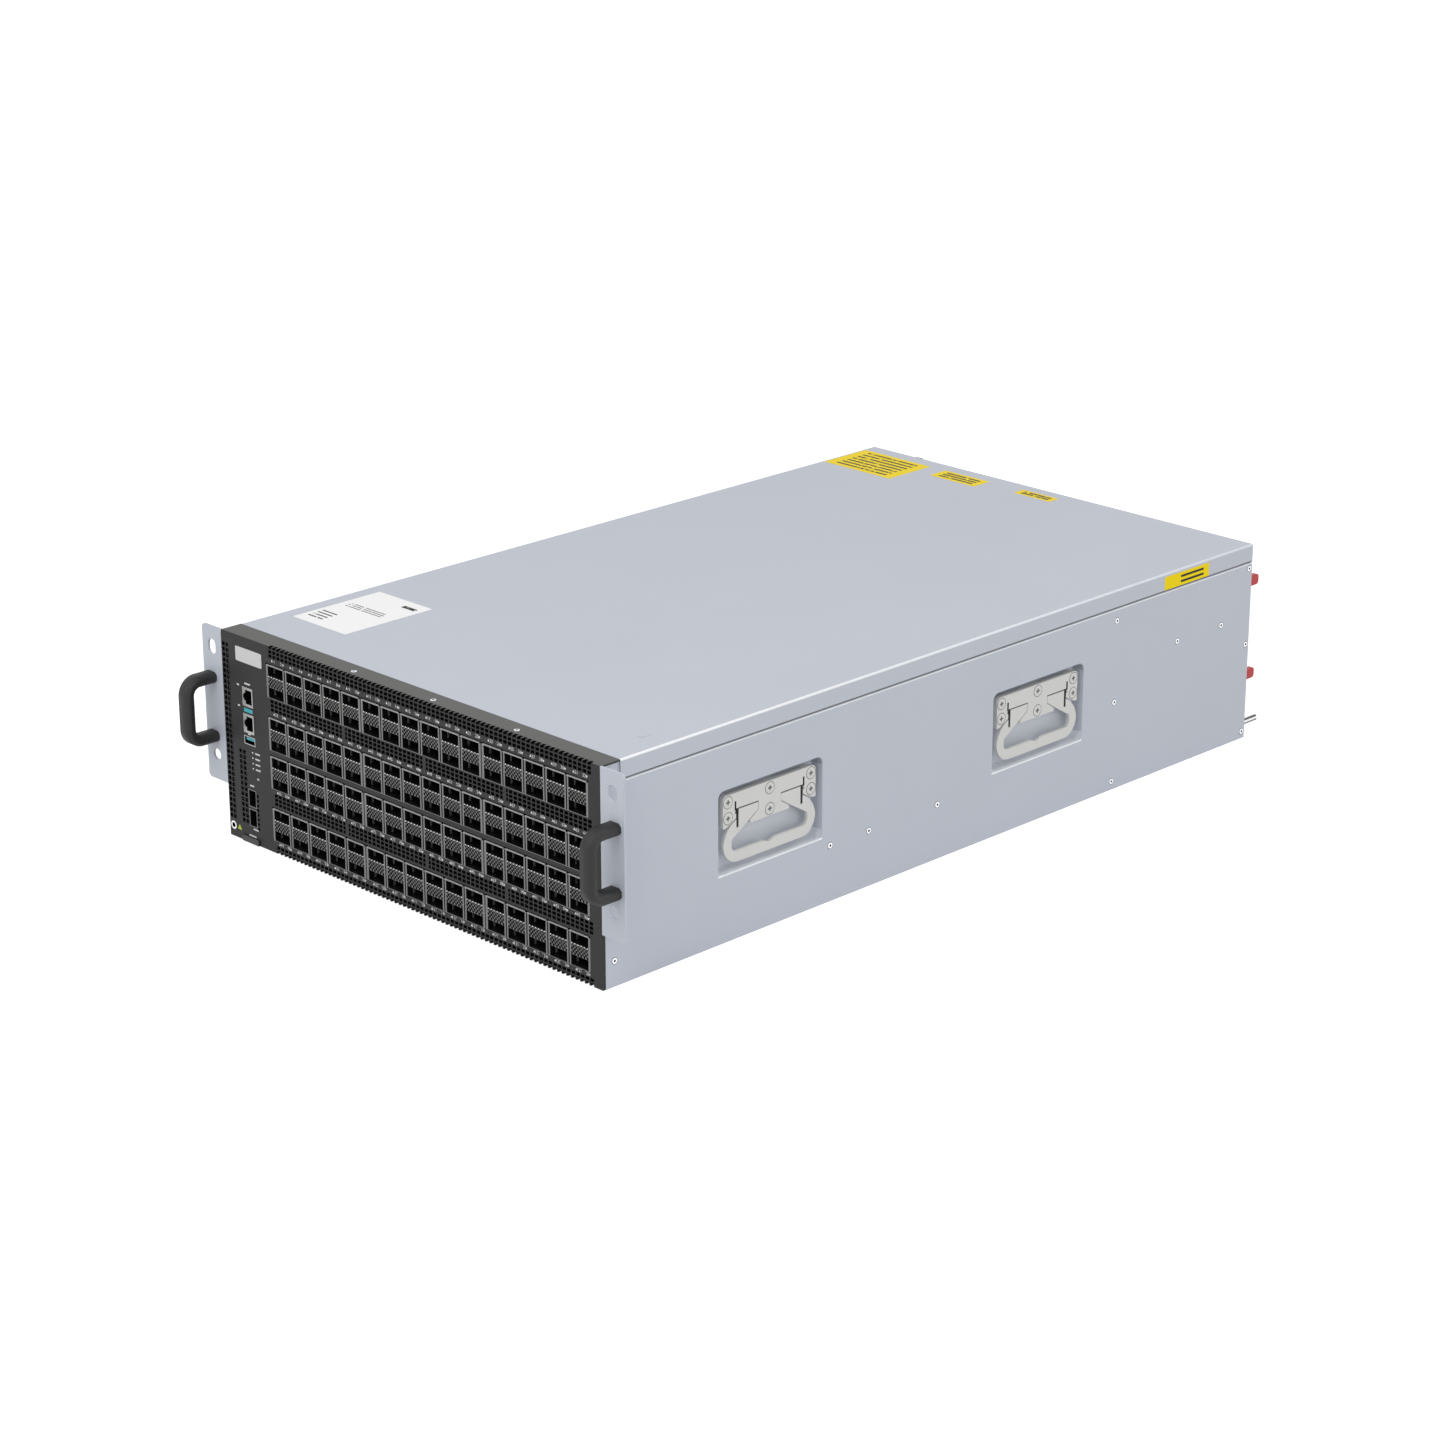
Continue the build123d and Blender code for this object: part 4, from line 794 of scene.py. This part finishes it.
class SWITCH_OT_port_faces(bpy.types.Operator):
    """Model one perforated spacer between stacked ports and repeat it over every column"""

    bl_idname = "switch.port_faces"
    bl_label = "Perforated spacers"

    sheet = 0.5 * MM
    recess = 3.0 * MM
    dot_rows = 5
    dot_step = 1.72 * MM
    # Size and drop of the painted glints along each spacer's top edge
    bead_radius = 0.6 * MM
    bead_drop = 0.3 * MM
    finger_tall = 8.1 * MM
    finger_width = 1.9 * MM
    finger_setback = 5.6 * MM
    groove = 1.3 * MM
    groove_depth = 1.6 * MM

    def execute(self, context):
        sizes = context.scene.switch_sizes
        half = PORT_WIDTH / 2
        tall = SPACER_TALL / 2
        deep = SPACER_HIGH.y - SPACER_LOW.y
        body = block("spacer_body", (-half, 0, -tall), (half, deep, tall))
        recess_low = (-half + self.sheet, self.sheet, -tall + self.sheet)
        recess_high = (half - self.sheet, self.recess, tall - self.sheet)
        cut(body, block("recess", recess_low, recess_high))
        dots = []
        for row in range(self.dot_rows):
            count = 6 - row % 2
            start = -(count - 1) / 2 * sizes.dot_pitch
            height = (row - (self.dot_rows - 1) / 2) * self.dot_step
            middle = (start, self.sheet / 2, height)
            dot = disc("dot", sizes.dot_radius, 3 * self.sheet, middle, (0, 1, 0), 8)
            dots.append(row_of(dot, count, (sizes.dot_pitch, 0, 0)))
        cut(body, joined("dots", dots))
        # Small white beads along each spacer's top edge, painted glints
        bead = disc("bead", self.bead_radius, self.sheet, (0, 0, 0), (0, -1, 0), 8)
        soften(bead, self.sheet * 0.3, 1)
        starts = [(n - 2.5) * sizes.dot_pitch for n in range(6)]
        centres = [(x, bottom) for bottom in ROW_BOTTOMS for x in column_centres()]
        painted_glints = repeated(
            "spacer_beads",
            bead,
            [
                Matrix.Translation((x + start, FRONT, bottom + PORT_TALL + SPACER_TALL - self.bead_drop))
                for x, bottom in centres
                for start in starts
            ],
        )
        finish_piece(painted_glints, "dot_nickel")
        places = [Matrix.Translation((x, FRONT, bottom + PORT_TALL + tall)) for x, bottom in centres]
        faces = repeated("perforated_spacers", body, places)
        finish_piece(faces, "spacer_nickel")
        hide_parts("port_spacers")
        foot, head = -self.finger_tall / 2, self.finger_tall / 2
        finger = block("finger", (0, 0, foot), (0.3 * MM, self.finger_width, head))
        soften(finger, 0.1 * MM, 1)
        fingers = repeated(
            "spring_fingers",
            finger,
            [
                Matrix.Translation((x - half, FRONT + self.finger_setback, bottom + height))
                for x, bottom in centres
                for height in (PORT_TALL / 2, PORT_TALL * 1.5 + SPACER_TALL)
            ],
        )
        finish_piece(fingers, "finger_nickel")
        walls = copied_node("grooved_dividers", "port_cage_dividers")
        left = SPACER_LOW.x
        for count in GANGS:
            start = left - (PORT_PITCH - PORT_WIDTH) / 2 + PORT_PITCH - self.groove / 2
            low = (start, FRONT - MM, ROW_BOTTOMS[-1] - MM)
            high = (start + self.groove, FRONT + self.groove_depth, TOP)
            grooves = row_of(block("grooves", low, high), count - 1, (PORT_PITCH, 0, 0))
            cut(walls, grooves)
            left += count * PORT_PITCH + GANG_GAP
        finish_piece(walls, "cage_nickel")
        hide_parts("port_cage_dividers")
        return {"FINISHED"}


def turned(piece, facing):
    """A piece made facing up, turned to face another way about the origin."""
    piece.matrix_world = Vector(facing).to_track_quat("Z", "Y").to_matrix().to_4x4()
    return settle(piece)


def screw_head(name, radius, proud, facing, drive=0.46):
    """A countersunk head at the origin, its rim bevelled and a cross cut in its face.

    drive is the hollow round the cross, as a share of the head's radius.
    """
    head = disc(name, radius, proud * 4, (0, 0, -proud), (0, 0, 1), 28)
    soften(head, proud * 0.8, 2)
    arm = radius * 0.45
    slit = radius * 0.14
    lengthways = block("slot", (-arm, -slit, -proud), (arm, slit, 2 * proud))
    crossways = block("slot", (-slit, -arm * 1.01, -proud * 1.01), (slit, arm * 1.01, 2.02 * proud))
    cut(head, lengthways)
    cut(head, crossways)
    cut(head, disc("drive", radius * drive, 3 * proud, (0, 0, proud * 0.8), (0, 0, 1), 12))
    return turned(head, facing)


def screw_seat(name, radius, proud, facing, drive=0.39):
    """The ring under a head's rim and the floor of its drive, lower than its face, painted dark as shade."""
    seat = disc("seat", radius, proud, (0, 0, 0), (0, 0, 1), 28)
    soften(seat, proud * 0.3, 1)
    floor = disc("drive", radius * drive, proud, (0, 0, proud), (0, 0, 1), 12)
    soften(floor, proud * 0.2, 1)
    return turned(joined(name, [seat, floor]), facing)


class SWITCH_OT_fasteners(bpy.types.Operator):
    """Model each kind of screw once and repeat it on the case, the cover and the brackets"""

    bl_idname = "switch.fasteners"
    bl_label = "Fasteners"

    proud = 0.25 * MM
    seat = 0.15 * MM
    seat_spread = 1.15
    side_spots = (
        (240.0, 46.5), (283.5, 46.5), (363.0, 46.5), (662.5, 111.5), (722.0, 111.5),
        (581.0, 148.5), (581.0, 77.5), (581.0, 7.5), (758.0, 154.0), (758.0, 86.0), (758.0, 6.5),
        (12.0, 20.5),
    )
    cover_spots = (-65.2, 27.9, 121.5)
    cover_setback = 9.0
    bracket_spots = ((-44.5, 111.3), (0.0, 111.3), (44.5, 111.3), (-44.5, 98.6), (44.5, 98.6), (0.0, 94.6))
    bracket_inset = 1.2 * MM
    bracket_radius = 4.6 * MM
    bracket_seat = 5.06 * MM
    bracket_drives = (0.2, 0.16)
    slot_sheet = 0.3 * MM
    # From and to along the side, foot and head above the hinge, and depth under the bracket's face
    slot_bars = (
        (33.3, 35.9, -1.8, 2.0, 0.15), (33.5, 35.5, -13.0, -1.8, 0.15), (12.2, 33.2, 1.7, 2.05, 0.15),
        (35.7, 37.5, 1.0, 8.1, -0.04),
    )

    def slots(self):
        """Dark sheets of painted shade at the backs of the hinges' relief slots, just under the brackets'
        faces, and one bar of each set just proud of a face.
        """
        bars = []
        for side in (-1, 1):
            for middle in POCKET_SETBACKS:
                for end in (-1, 1):
                    for first, last, foot, head, sink in self.slot_bars:
                        outer = SIDE - self.bracket_inset - sink * MM
                        depths = sorted((side * outer, side * (outer - self.slot_sheet)))
                        along = sorted((end * first * MM, end * last * MM))
                        low = (depths[0], FRONT + middle + along[0], HINGE_Z + foot * MM)
                        high = (depths[1], FRONT + middle + along[1], HINGE_Z + head * MM)
                        bars.append(block("slot_bar", low, high))
        finish_piece(soften(joined("slot_shadows", bars), 0.05 * MM, 1), "slot_shadow")

    def execute(self, context):
        radius = context.scene.switch_sizes.screw_radius
        wide = radius * self.seat_spread
        heads = []
        seats = []
        for hand, side in (("left", -1), ("right", 1)):
            facing = (side, 0, 0)
            places = [
                Matrix.Translation((side * SIDE, FRONT + y * MM, z * MM)) for y, z in self.side_spots
            ]
            heads.append(repeated("heads", screw_head("head", radius, self.proud, facing), places))
            seats.append(repeated("seats", screw_seat("seat", wide, self.seat, facing), places))
            on_bracket = [
                Matrix.Translation((side * (SIDE - self.bracket_inset), FRONT + middle + u * MM, z * MM))
                for middle in POCKET_SETBACKS
                for u, z in self.bracket_spots
            ]
            hollow, floor = self.bracket_drives
            head = screw_head("head", self.bracket_radius, self.seat, facing, hollow)
            finish_piece(repeated(f"bracket_screws_{hand}", head, on_bracket), "bracket_zinc")
            seat = screw_seat("seat", self.bracket_seat, self.seat, facing, floor)
            finish_piece(repeated(f"bracket_seats_{hand}", seat, on_bracket), "seam_grey")
        on_cover = [
            Matrix.Translation((x * MM, FRONT + self.cover_setback * MM, TOP)) for x in self.cover_spots
        ]
        heads.append(repeated("heads", screw_head("head", radius, self.proud, (0, 0, 1)), on_cover))
        seats.append(repeated("seats", screw_seat("seat", wide, self.seat, (0, 0, 1)), on_cover))
        finish_piece(joined("case_screws", heads), "screw_steel")
        finish_piece(joined("screw_seats", seats), "slot_shadow")
        self.slots()
        return {"FINISHED"}


class SWITCH_OT_front_marks(bpy.types.Operator):
    """Add the name plate's blank, the port numbers, the lamps and the small printed marks"""

    bl_idname = "switch.front_marks"
    bl_label = "Front marks"

    plate_low = (-201.7, 153.8)
    plate_high = (-168.7, 166.0)
    strip_low = (-194.2, 112.5)
    strip_high = (-183.2, 115.6)
    number_rows = (163.6, 119.2, 53.1, 8.9)
    number_offsets = (-0.6 * MM, 7.7 * MM)
    arrow_offsets = (-3.6 * MM, 10.3 * MM)
    arrow_radius = 1.35 * MM
    window_offsets = tuple(x * MM for x in (-11.0, -7.5, 2.1, 5.3))
    window_drop = 0.3
    window = (1.5 * MM, 2.4 * MM)
    lamp_x = -185.6
    lamp_zs = (79.4, 74.8, 70.2, 65.8)
    lamp_radius = 0.75 * MM
    print_sheet = 0.06 * MM
    lift = 0.02 * MM
    lime_spot = (-207.2, 9.6)
    lime_radius = 3.0 * MM
    bar_half = 0.65
    bars = (
        (-179.5, 79.4, 3.0), (-179.5, 74.8, 3.0), (-179.5, 70.2, 3.0), (-179.5, 65.8, 3.0),
        (-180.0, 58.0, 1.2), (-188.5, 50.4, 2.6), (-186.0, 13.2, 3.2), (-190.5, 6.8, 4.6),
        (-188.5, 136.5, 3.6), (-200.6, 133.5, 1.4), (-200.6, 116.0, 1.4), (-188.7, 94.2, 1.8),
    )

    def panel(self, name, low, high, thickness, corner):
        piece = block(
            name,
            (low[0] * MM, FRONT - thickness, low[1] * MM),
            (high[0] * MM, FRONT, high[1] * MM),
        )
        choose(piece)
        bpy.ops.object.mode_set(mode="EDIT")
        bpy.ops.mesh.select_mode(type="EDGE")
        bpy.ops.mesh.select_all(action="DESELECT")
        mesh = bmesh.from_edit_mesh(piece.data)
        for edge in mesh.edges:
            ends = edge.verts[0].co - edge.verts[1].co
            edge.select = abs(ends.y) > 0.9 * ends.length
        bmesh.update_edit_mesh(piece.data)
        bpy.ops.mesh.bevel(offset=corner, segments=4, affect="EDGES")
        bpy.ops.object.mode_set(mode="OBJECT")
        return soften(piece, thickness * 0.4, 1)

    def number(self, text, x, z, height):
        deselect()
        bpy.ops.object.text_add(location=(x, FRONT - self.lift, z), rotation=(pi / 2, 0, 0))
        word = bpy.context.object
        word.data.body = text
        word.data.size = height * 1.4
        word.data.align_x = "CENTER"
        word.data.align_y = "CENTER"
        word.data.extrude = 0.03 * MM
        word.data.resolution_u = 2
        bpy.ops.object.convert(target="MESH")
        return settle(bpy.context.object)

    def execute(self, context):
        height = context.scene.switch_sizes.digit_height
        plate = self.panel("name_plate", self.plate_low, self.plate_high, 0.4 * MM, 1.2 * MM)
        finish_piece(plate, "silver_plate")
        strip = self.panel("teal_strip", self.strip_low, self.strip_high, 0.1 * MM, 0.3 * MM)
        finish_piece(strip, "teal_strip")
        centres = column_centres()
        words = []
        for row, z in enumerate(self.number_rows):
            for column, x in enumerate(centres):
                upper = 2 * (row * len(centres) + column) + 1
                words.append(self.number(str(upper), x + self.number_offsets[0], z * MM, height))
                words.append(self.number(str(upper + 1), x + self.number_offsets[1], z * MM, height))
        numbers = joined("port_numbers", words)
        finish_piece(numbers, "white_ink")
        arrows = []
        turns = (Matrix.Identity(4), Matrix.Rotation(pi, 4, "Y"))
        for offset, turn in zip(self.arrow_offsets, turns):
            arrow = disc("arrow", self.arrow_radius, self.print_sheet, (0, 0, 0), (0, -1, 0), 3)
            places = [
                Matrix.Translation((x + offset, FRONT - self.lift, z * MM)) @ turn
                for z in self.number_rows
                for x in centres
            ]
            arrows.append(repeated("arrows", arrow, places))
        finish_piece(joined("port_arrows", arrows), "white_ink")
        low = (-self.window[0] / 2, -0.05 * MM, -self.window[1] / 2)
        high = (self.window[0] / 2, 0.2 * MM, self.window[1] / 2)
        windows = repeated(
            "port_lamps",
            soften(block("port_lamp", low, high), 0.02 * MM, 1),
            [
                Matrix.Translation((x + offset, FRONT, (z - self.window_drop) * MM))
                for z in self.number_rows
                for x in centres
                for offset in self.window_offsets
            ],
        )
        finish_piece(windows, "connector_black")
        lamps = repeated(
            "status_lamps",
            soften(disc("lamp", self.lamp_radius, 0.6 * MM, (0, 0, 0), (0, -1, 0), 16), 0.2 * MM, 2),
            [Matrix.Translation((self.lamp_x * MM, FRONT, z * MM)) for z in self.lamp_zs],
        )
        finish_piece(lamps, "white_ink")
        tall = self.bar_half
        marks = [
            self.panel("mark", (x - half, z - tall), (x + half, z + tall), 0.05 * MM, 0.2 * MM)
            for x, z, half in self.bars
        ]
        finish_piece(joined("printed_marks", marks), "white_ink")
        x, z = self.lime_spot
        spot = (x * MM, FRONT - self.lift, z * MM)
        mark = disc("lime_mark", self.lime_radius, self.print_sheet, spot, (0, -1, 0), 3)
        finish_piece(mark, "lime_mark")
        return {"FINISHED"}


class SWITCH_OT_labels(bpy.types.Operator):
    """Lay the plain labels on the lid and the right side"""

    bl_idname = "switch.labels"
    bl_label = "Labels"

    thickness = 0.12 * MM
    bedding = 0.05 * MM
    white = (-205.0, 61.0, -139.5, 151.5)
    # Middle from the label's near left corner, and half sizes
    white_bars = (
        (14.0, 12.0, 9.0, 0.9), (14.0, 17.0, 9.0, 0.9), (14.0, 22.0, 9.0, 0.9), (14.0, 27.0, 9.0, 0.9),
        (51.5, 78.5, 8.0, 2.4), (30.0, 48.0, 22.0, 0.6), (30.0, 51.4, 22.0, 0.6), (30.0, 54.8, 22.0, 0.6),
    )
    bar_half = 1.4 * MM
    yellows = ((-217.0, 692.0, -136.5, 747.5), (-118.0, 726.5, -65.2, 748.0), (-26.9, 737.0, 14.4, 750.0))
    side_yellow = (642.5, 160.4, 701.5, 172.0)
    lance_corner = (198.5, 62.5)
    lance_size = (6.0, 10.0)
    lance_width = 0.45

    def lance(self):
        """Two sides of a small pressed mark in the lid, as strips of painted shade."""
        x, y = self.lance_corner
        across, along = self.lance_size
        foot, head = TOP - 0.02 * MM, TOP + 0.06 * MM
        sides = [
            block("lance", (left * MM, FRONT + near * MM, foot), (right * MM, FRONT + far * MM, head))
            for left, near, right, far in (
                (x - across, y, x, y + self.lance_width),
                (x - self.lance_width, y, x, y + along),
            )
        ]
        finish_piece(soften(joined("lid_lance", sides), 0.02 * MM, 1), "lance_shade")

    def execute(self, context):
        left, near, right, far = (v * MM for v in self.white)
        near, far = near + FRONT, far + FRONT
        bars = [
            (0, 1, left + u * MM, near + v * MM, half_u * MM, half_v * MM)
            for u, v, half_u, half_v in self.white_bars
        ]
        FINISHES["white_label"] = printed_label("white_label", tint("paper"), tint("ink"), bars)
        foot, head = TOP - self.bedding, TOP + self.thickness
        sheet = block("white_label", (left, near, foot), (right, far, head))
        finish_piece(soften(sheet, self.bedding, 1), "white_label")
        sheets = []
        bars = []
        for left, near, right, far in self.yellows:
            left, right = left * MM, right * MM
            near, far = near * MM + FRONT, far * MM + FRONT
            rows = max(2, int((far - near) / (7 * MM)))
            step = (far - near) / (rows + 1)
            middle, half = (left + right) / 2, (right - left) * 0.38
            bars += [(0, 1, middle, near + (row + 1) * step, half, self.bar_half) for row in range(rows)]
            sheets.append(block("yellow", (left, near, foot), (right, far, head)))
        FINISHES["yellow_label"] = printed_label("yellow_label", tint("yellow"), tint("ink"), bars)
        finish_piece(soften(joined("yellow_labels", sheets), self.bedding, 1), "yellow_label")
        near, low, far, high = (v * MM for v in self.side_yellow)
        near, far = near + FRONT, far + FRONT
        bars = [
            (1, 2, near + 0.62 * (far - near), low + share * (high - low), 0.26 * (far - near), 1.0 * MM)
            for share in (0.3, 0.68)
        ]
        FINISHES["side_label"] = printed_label("side_label", tint("yellow"), tint("ink"), bars)
        strip = block("side_label", (SIDE - self.bedding, near, low), (SIDE + self.thickness, far, high))
        finish_piece(soften(strip, self.bedding, 1), "side_label")
        self.lance()
        return {"FINISHED"}


class SWITCH_OT_studio(bpy.types.Operator):
    """Set the floor, the lamps, the surroundings and the camera"""

    bl_idname = "switch.studio"
    bl_label = "Studio"

    camera_place = (1.99448, -2.02738, 1.08094)
    camera_azimuth = radians(45.1186)
    camera_elevation = radians(19.8003)
    camera_roll = radians(-0.0850)
    camera_lens = 90.68
    sensor = 36.0
    floor_size = 40.0
    floor_drop = 0.2 * MM
    floor_glow = 0.8
    dimmed = 0.5
    lamps = (
        ("overhead", (0.3, -1.9, 2.1), 1.8, 24.0),
        ("right_side", (3.2, -0.6, 1.4), 2.4, 22.0),
        ("front", (-1.2, -3.4, 1.6), 2.4, 12.0),
        ("behind", (-0.6, 3.4, 1.8), 2.4, 4.0),
        ("folds", (1.7, 3.3, 3.3), 1.25, 42.0),
    )

    def camera(self):
        azimuth, elevation, roll = self.camera_azimuth, self.camera_elevation, self.camera_roll
        back = Vector((sin(azimuth) * cos(elevation), -cos(azimuth) * cos(elevation), sin(elevation)))
        level = Vector((cos(azimuth), sin(azimuth), 0))
        upright = back.cross(level)
        right = cos(roll) * level + sin(roll) * upright
        up = cos(roll) * upright - sin(roll) * level
        deselect()
        bpy.ops.object.camera_add()
        camera = bpy.context.object
        turn = Matrix((right, up, back)).transposed().to_4x4()
        camera.matrix_world = Matrix.Translation(self.camera_place) @ turn
        camera.data.sensor_width = self.sensor
        camera.data.lens = self.camera_lens
        camera.data.clip_end = 100.0
        bpy.context.scene.camera = camera

    def floor(self):
        deselect()
        bpy.ops.mesh.primitive_plane_add(size=self.floor_size, location=(0, 0, CAD_LOW.z - self.floor_drop))
        floor = named("floor")
        finish = Finish("floor", (0.5, 0.5, 0.5), 0.9)
        finish.wear("Specular IOR Level", 0.0)
        finish.wear("Emission Color", (1.0, 1.0, 1.0, 1.0))
        output = finish.tree.nodes["Material Output"]
        glow = finish.node("ShaderNodeEmission", values={"Color": (1, 1, 1, 1), "Strength": self.floor_glow})
        body = Value(finish.tree, finish.surface.outputs[0])
        added = finish.node("ShaderNodeAddShader", values={0: body, 1: glow})
        plain = finish.node("ShaderNodeBsdfDiffuse", values={"Color": (0.75, 0.75, 0.75, 1)})
        shown = finish.node("ShaderNodeMixShader", values={0: seen(finish.tree), 1: plain, 2: added})
        finish.tree.links.new(shown.socket, output.inputs["Surface"])
        floor.data.materials.append(finish.material)

    def surroundings(self):
        world = bpy.data.worlds.new("studio")
        bpy.context.scene.world = world
        world.use_nodes = True
        tree = world.node_tree
        background = tree.nodes["Background"]
        background.inputs["Color"].default_value = (1.0, 1.0, 1.0, 1.0)
        feed(tree, background.inputs["Strength"], self.dimmed + (1 - self.dimmed) * seen(tree))

    def execute(self, context):
        self.camera()
        self.floor()
        self.surroundings()
        for name, place, size, power in self.lamps:
            deselect()
            bpy.ops.object.light_add(type="AREA", location=place)
            lamp = bpy.context.object
            lamp.name = name
            lamp.data.size = size
            lamp.data.energy = power
            lamp.rotation_mode = "QUATERNION"
            lamp.rotation_quaternion = Vector(place).to_track_quat("Z", "Y")
        context.scene.view_settings.view_transform = "Standard"
        return {"FINISHED"}


class SWITCH_PT_panel(bpy.types.Panel):
    """The steps in order, and the sizes that they use"""

    bl_idname = "SWITCH_PT_panel"
    bl_label = "Ethernet switch"
    bl_space_type = "VIEW_3D"
    bl_region_type = "UI"
    bl_category = "Switch"

    def draw(self, context):
        scene = context.scene
        for group, values in ((SwitchSizes, scene.switch_sizes), (SwitchColours, scene.switch_colours)):
            for key in group.__annotations__:
                self.layout.prop(values, key)
        for step in STEPS:
            self.layout.operator(step.bl_idname)


STEPS = (
    SWITCH_OT_finishes,
    SWITCH_OT_vented_cover,
    SWITCH_OT_round_grips,
    SWITCH_OT_port_faces,
    SWITCH_OT_fasteners,
    SWITCH_OT_front_marks,
    SWITCH_OT_labels,
    SWITCH_OT_studio,
)
CLASSES = (SwitchSizes, SwitchColours, *STEPS, SWITCH_PT_panel)


def register():
    for each in CLASSES:
        bpy.utils.register_class(each)
    bpy.types.Scene.switch_sizes = bpy.props.PointerProperty(type=SwitchSizes)
    bpy.types.Scene.switch_colours = bpy.props.PointerProperty(type=SwitchColours)


def unregister():
    del bpy.types.Scene.switch_sizes
    del bpy.types.Scene.switch_colours
    for each in reversed(CLASSES):
        bpy.utils.unregister_class(each)


def main():
    register()
    bpy.ops.switch.finishes()
    bpy.ops.switch.vented_cover()
    bpy.ops.switch.round_grips()
    bpy.ops.switch.port_faces()
    bpy.ops.switch.fasteners()
    bpy.ops.switch.front_marks()
    bpy.ops.switch.labels()
    bpy.ops.switch.studio()


if __name__ == "__main__":
    main()
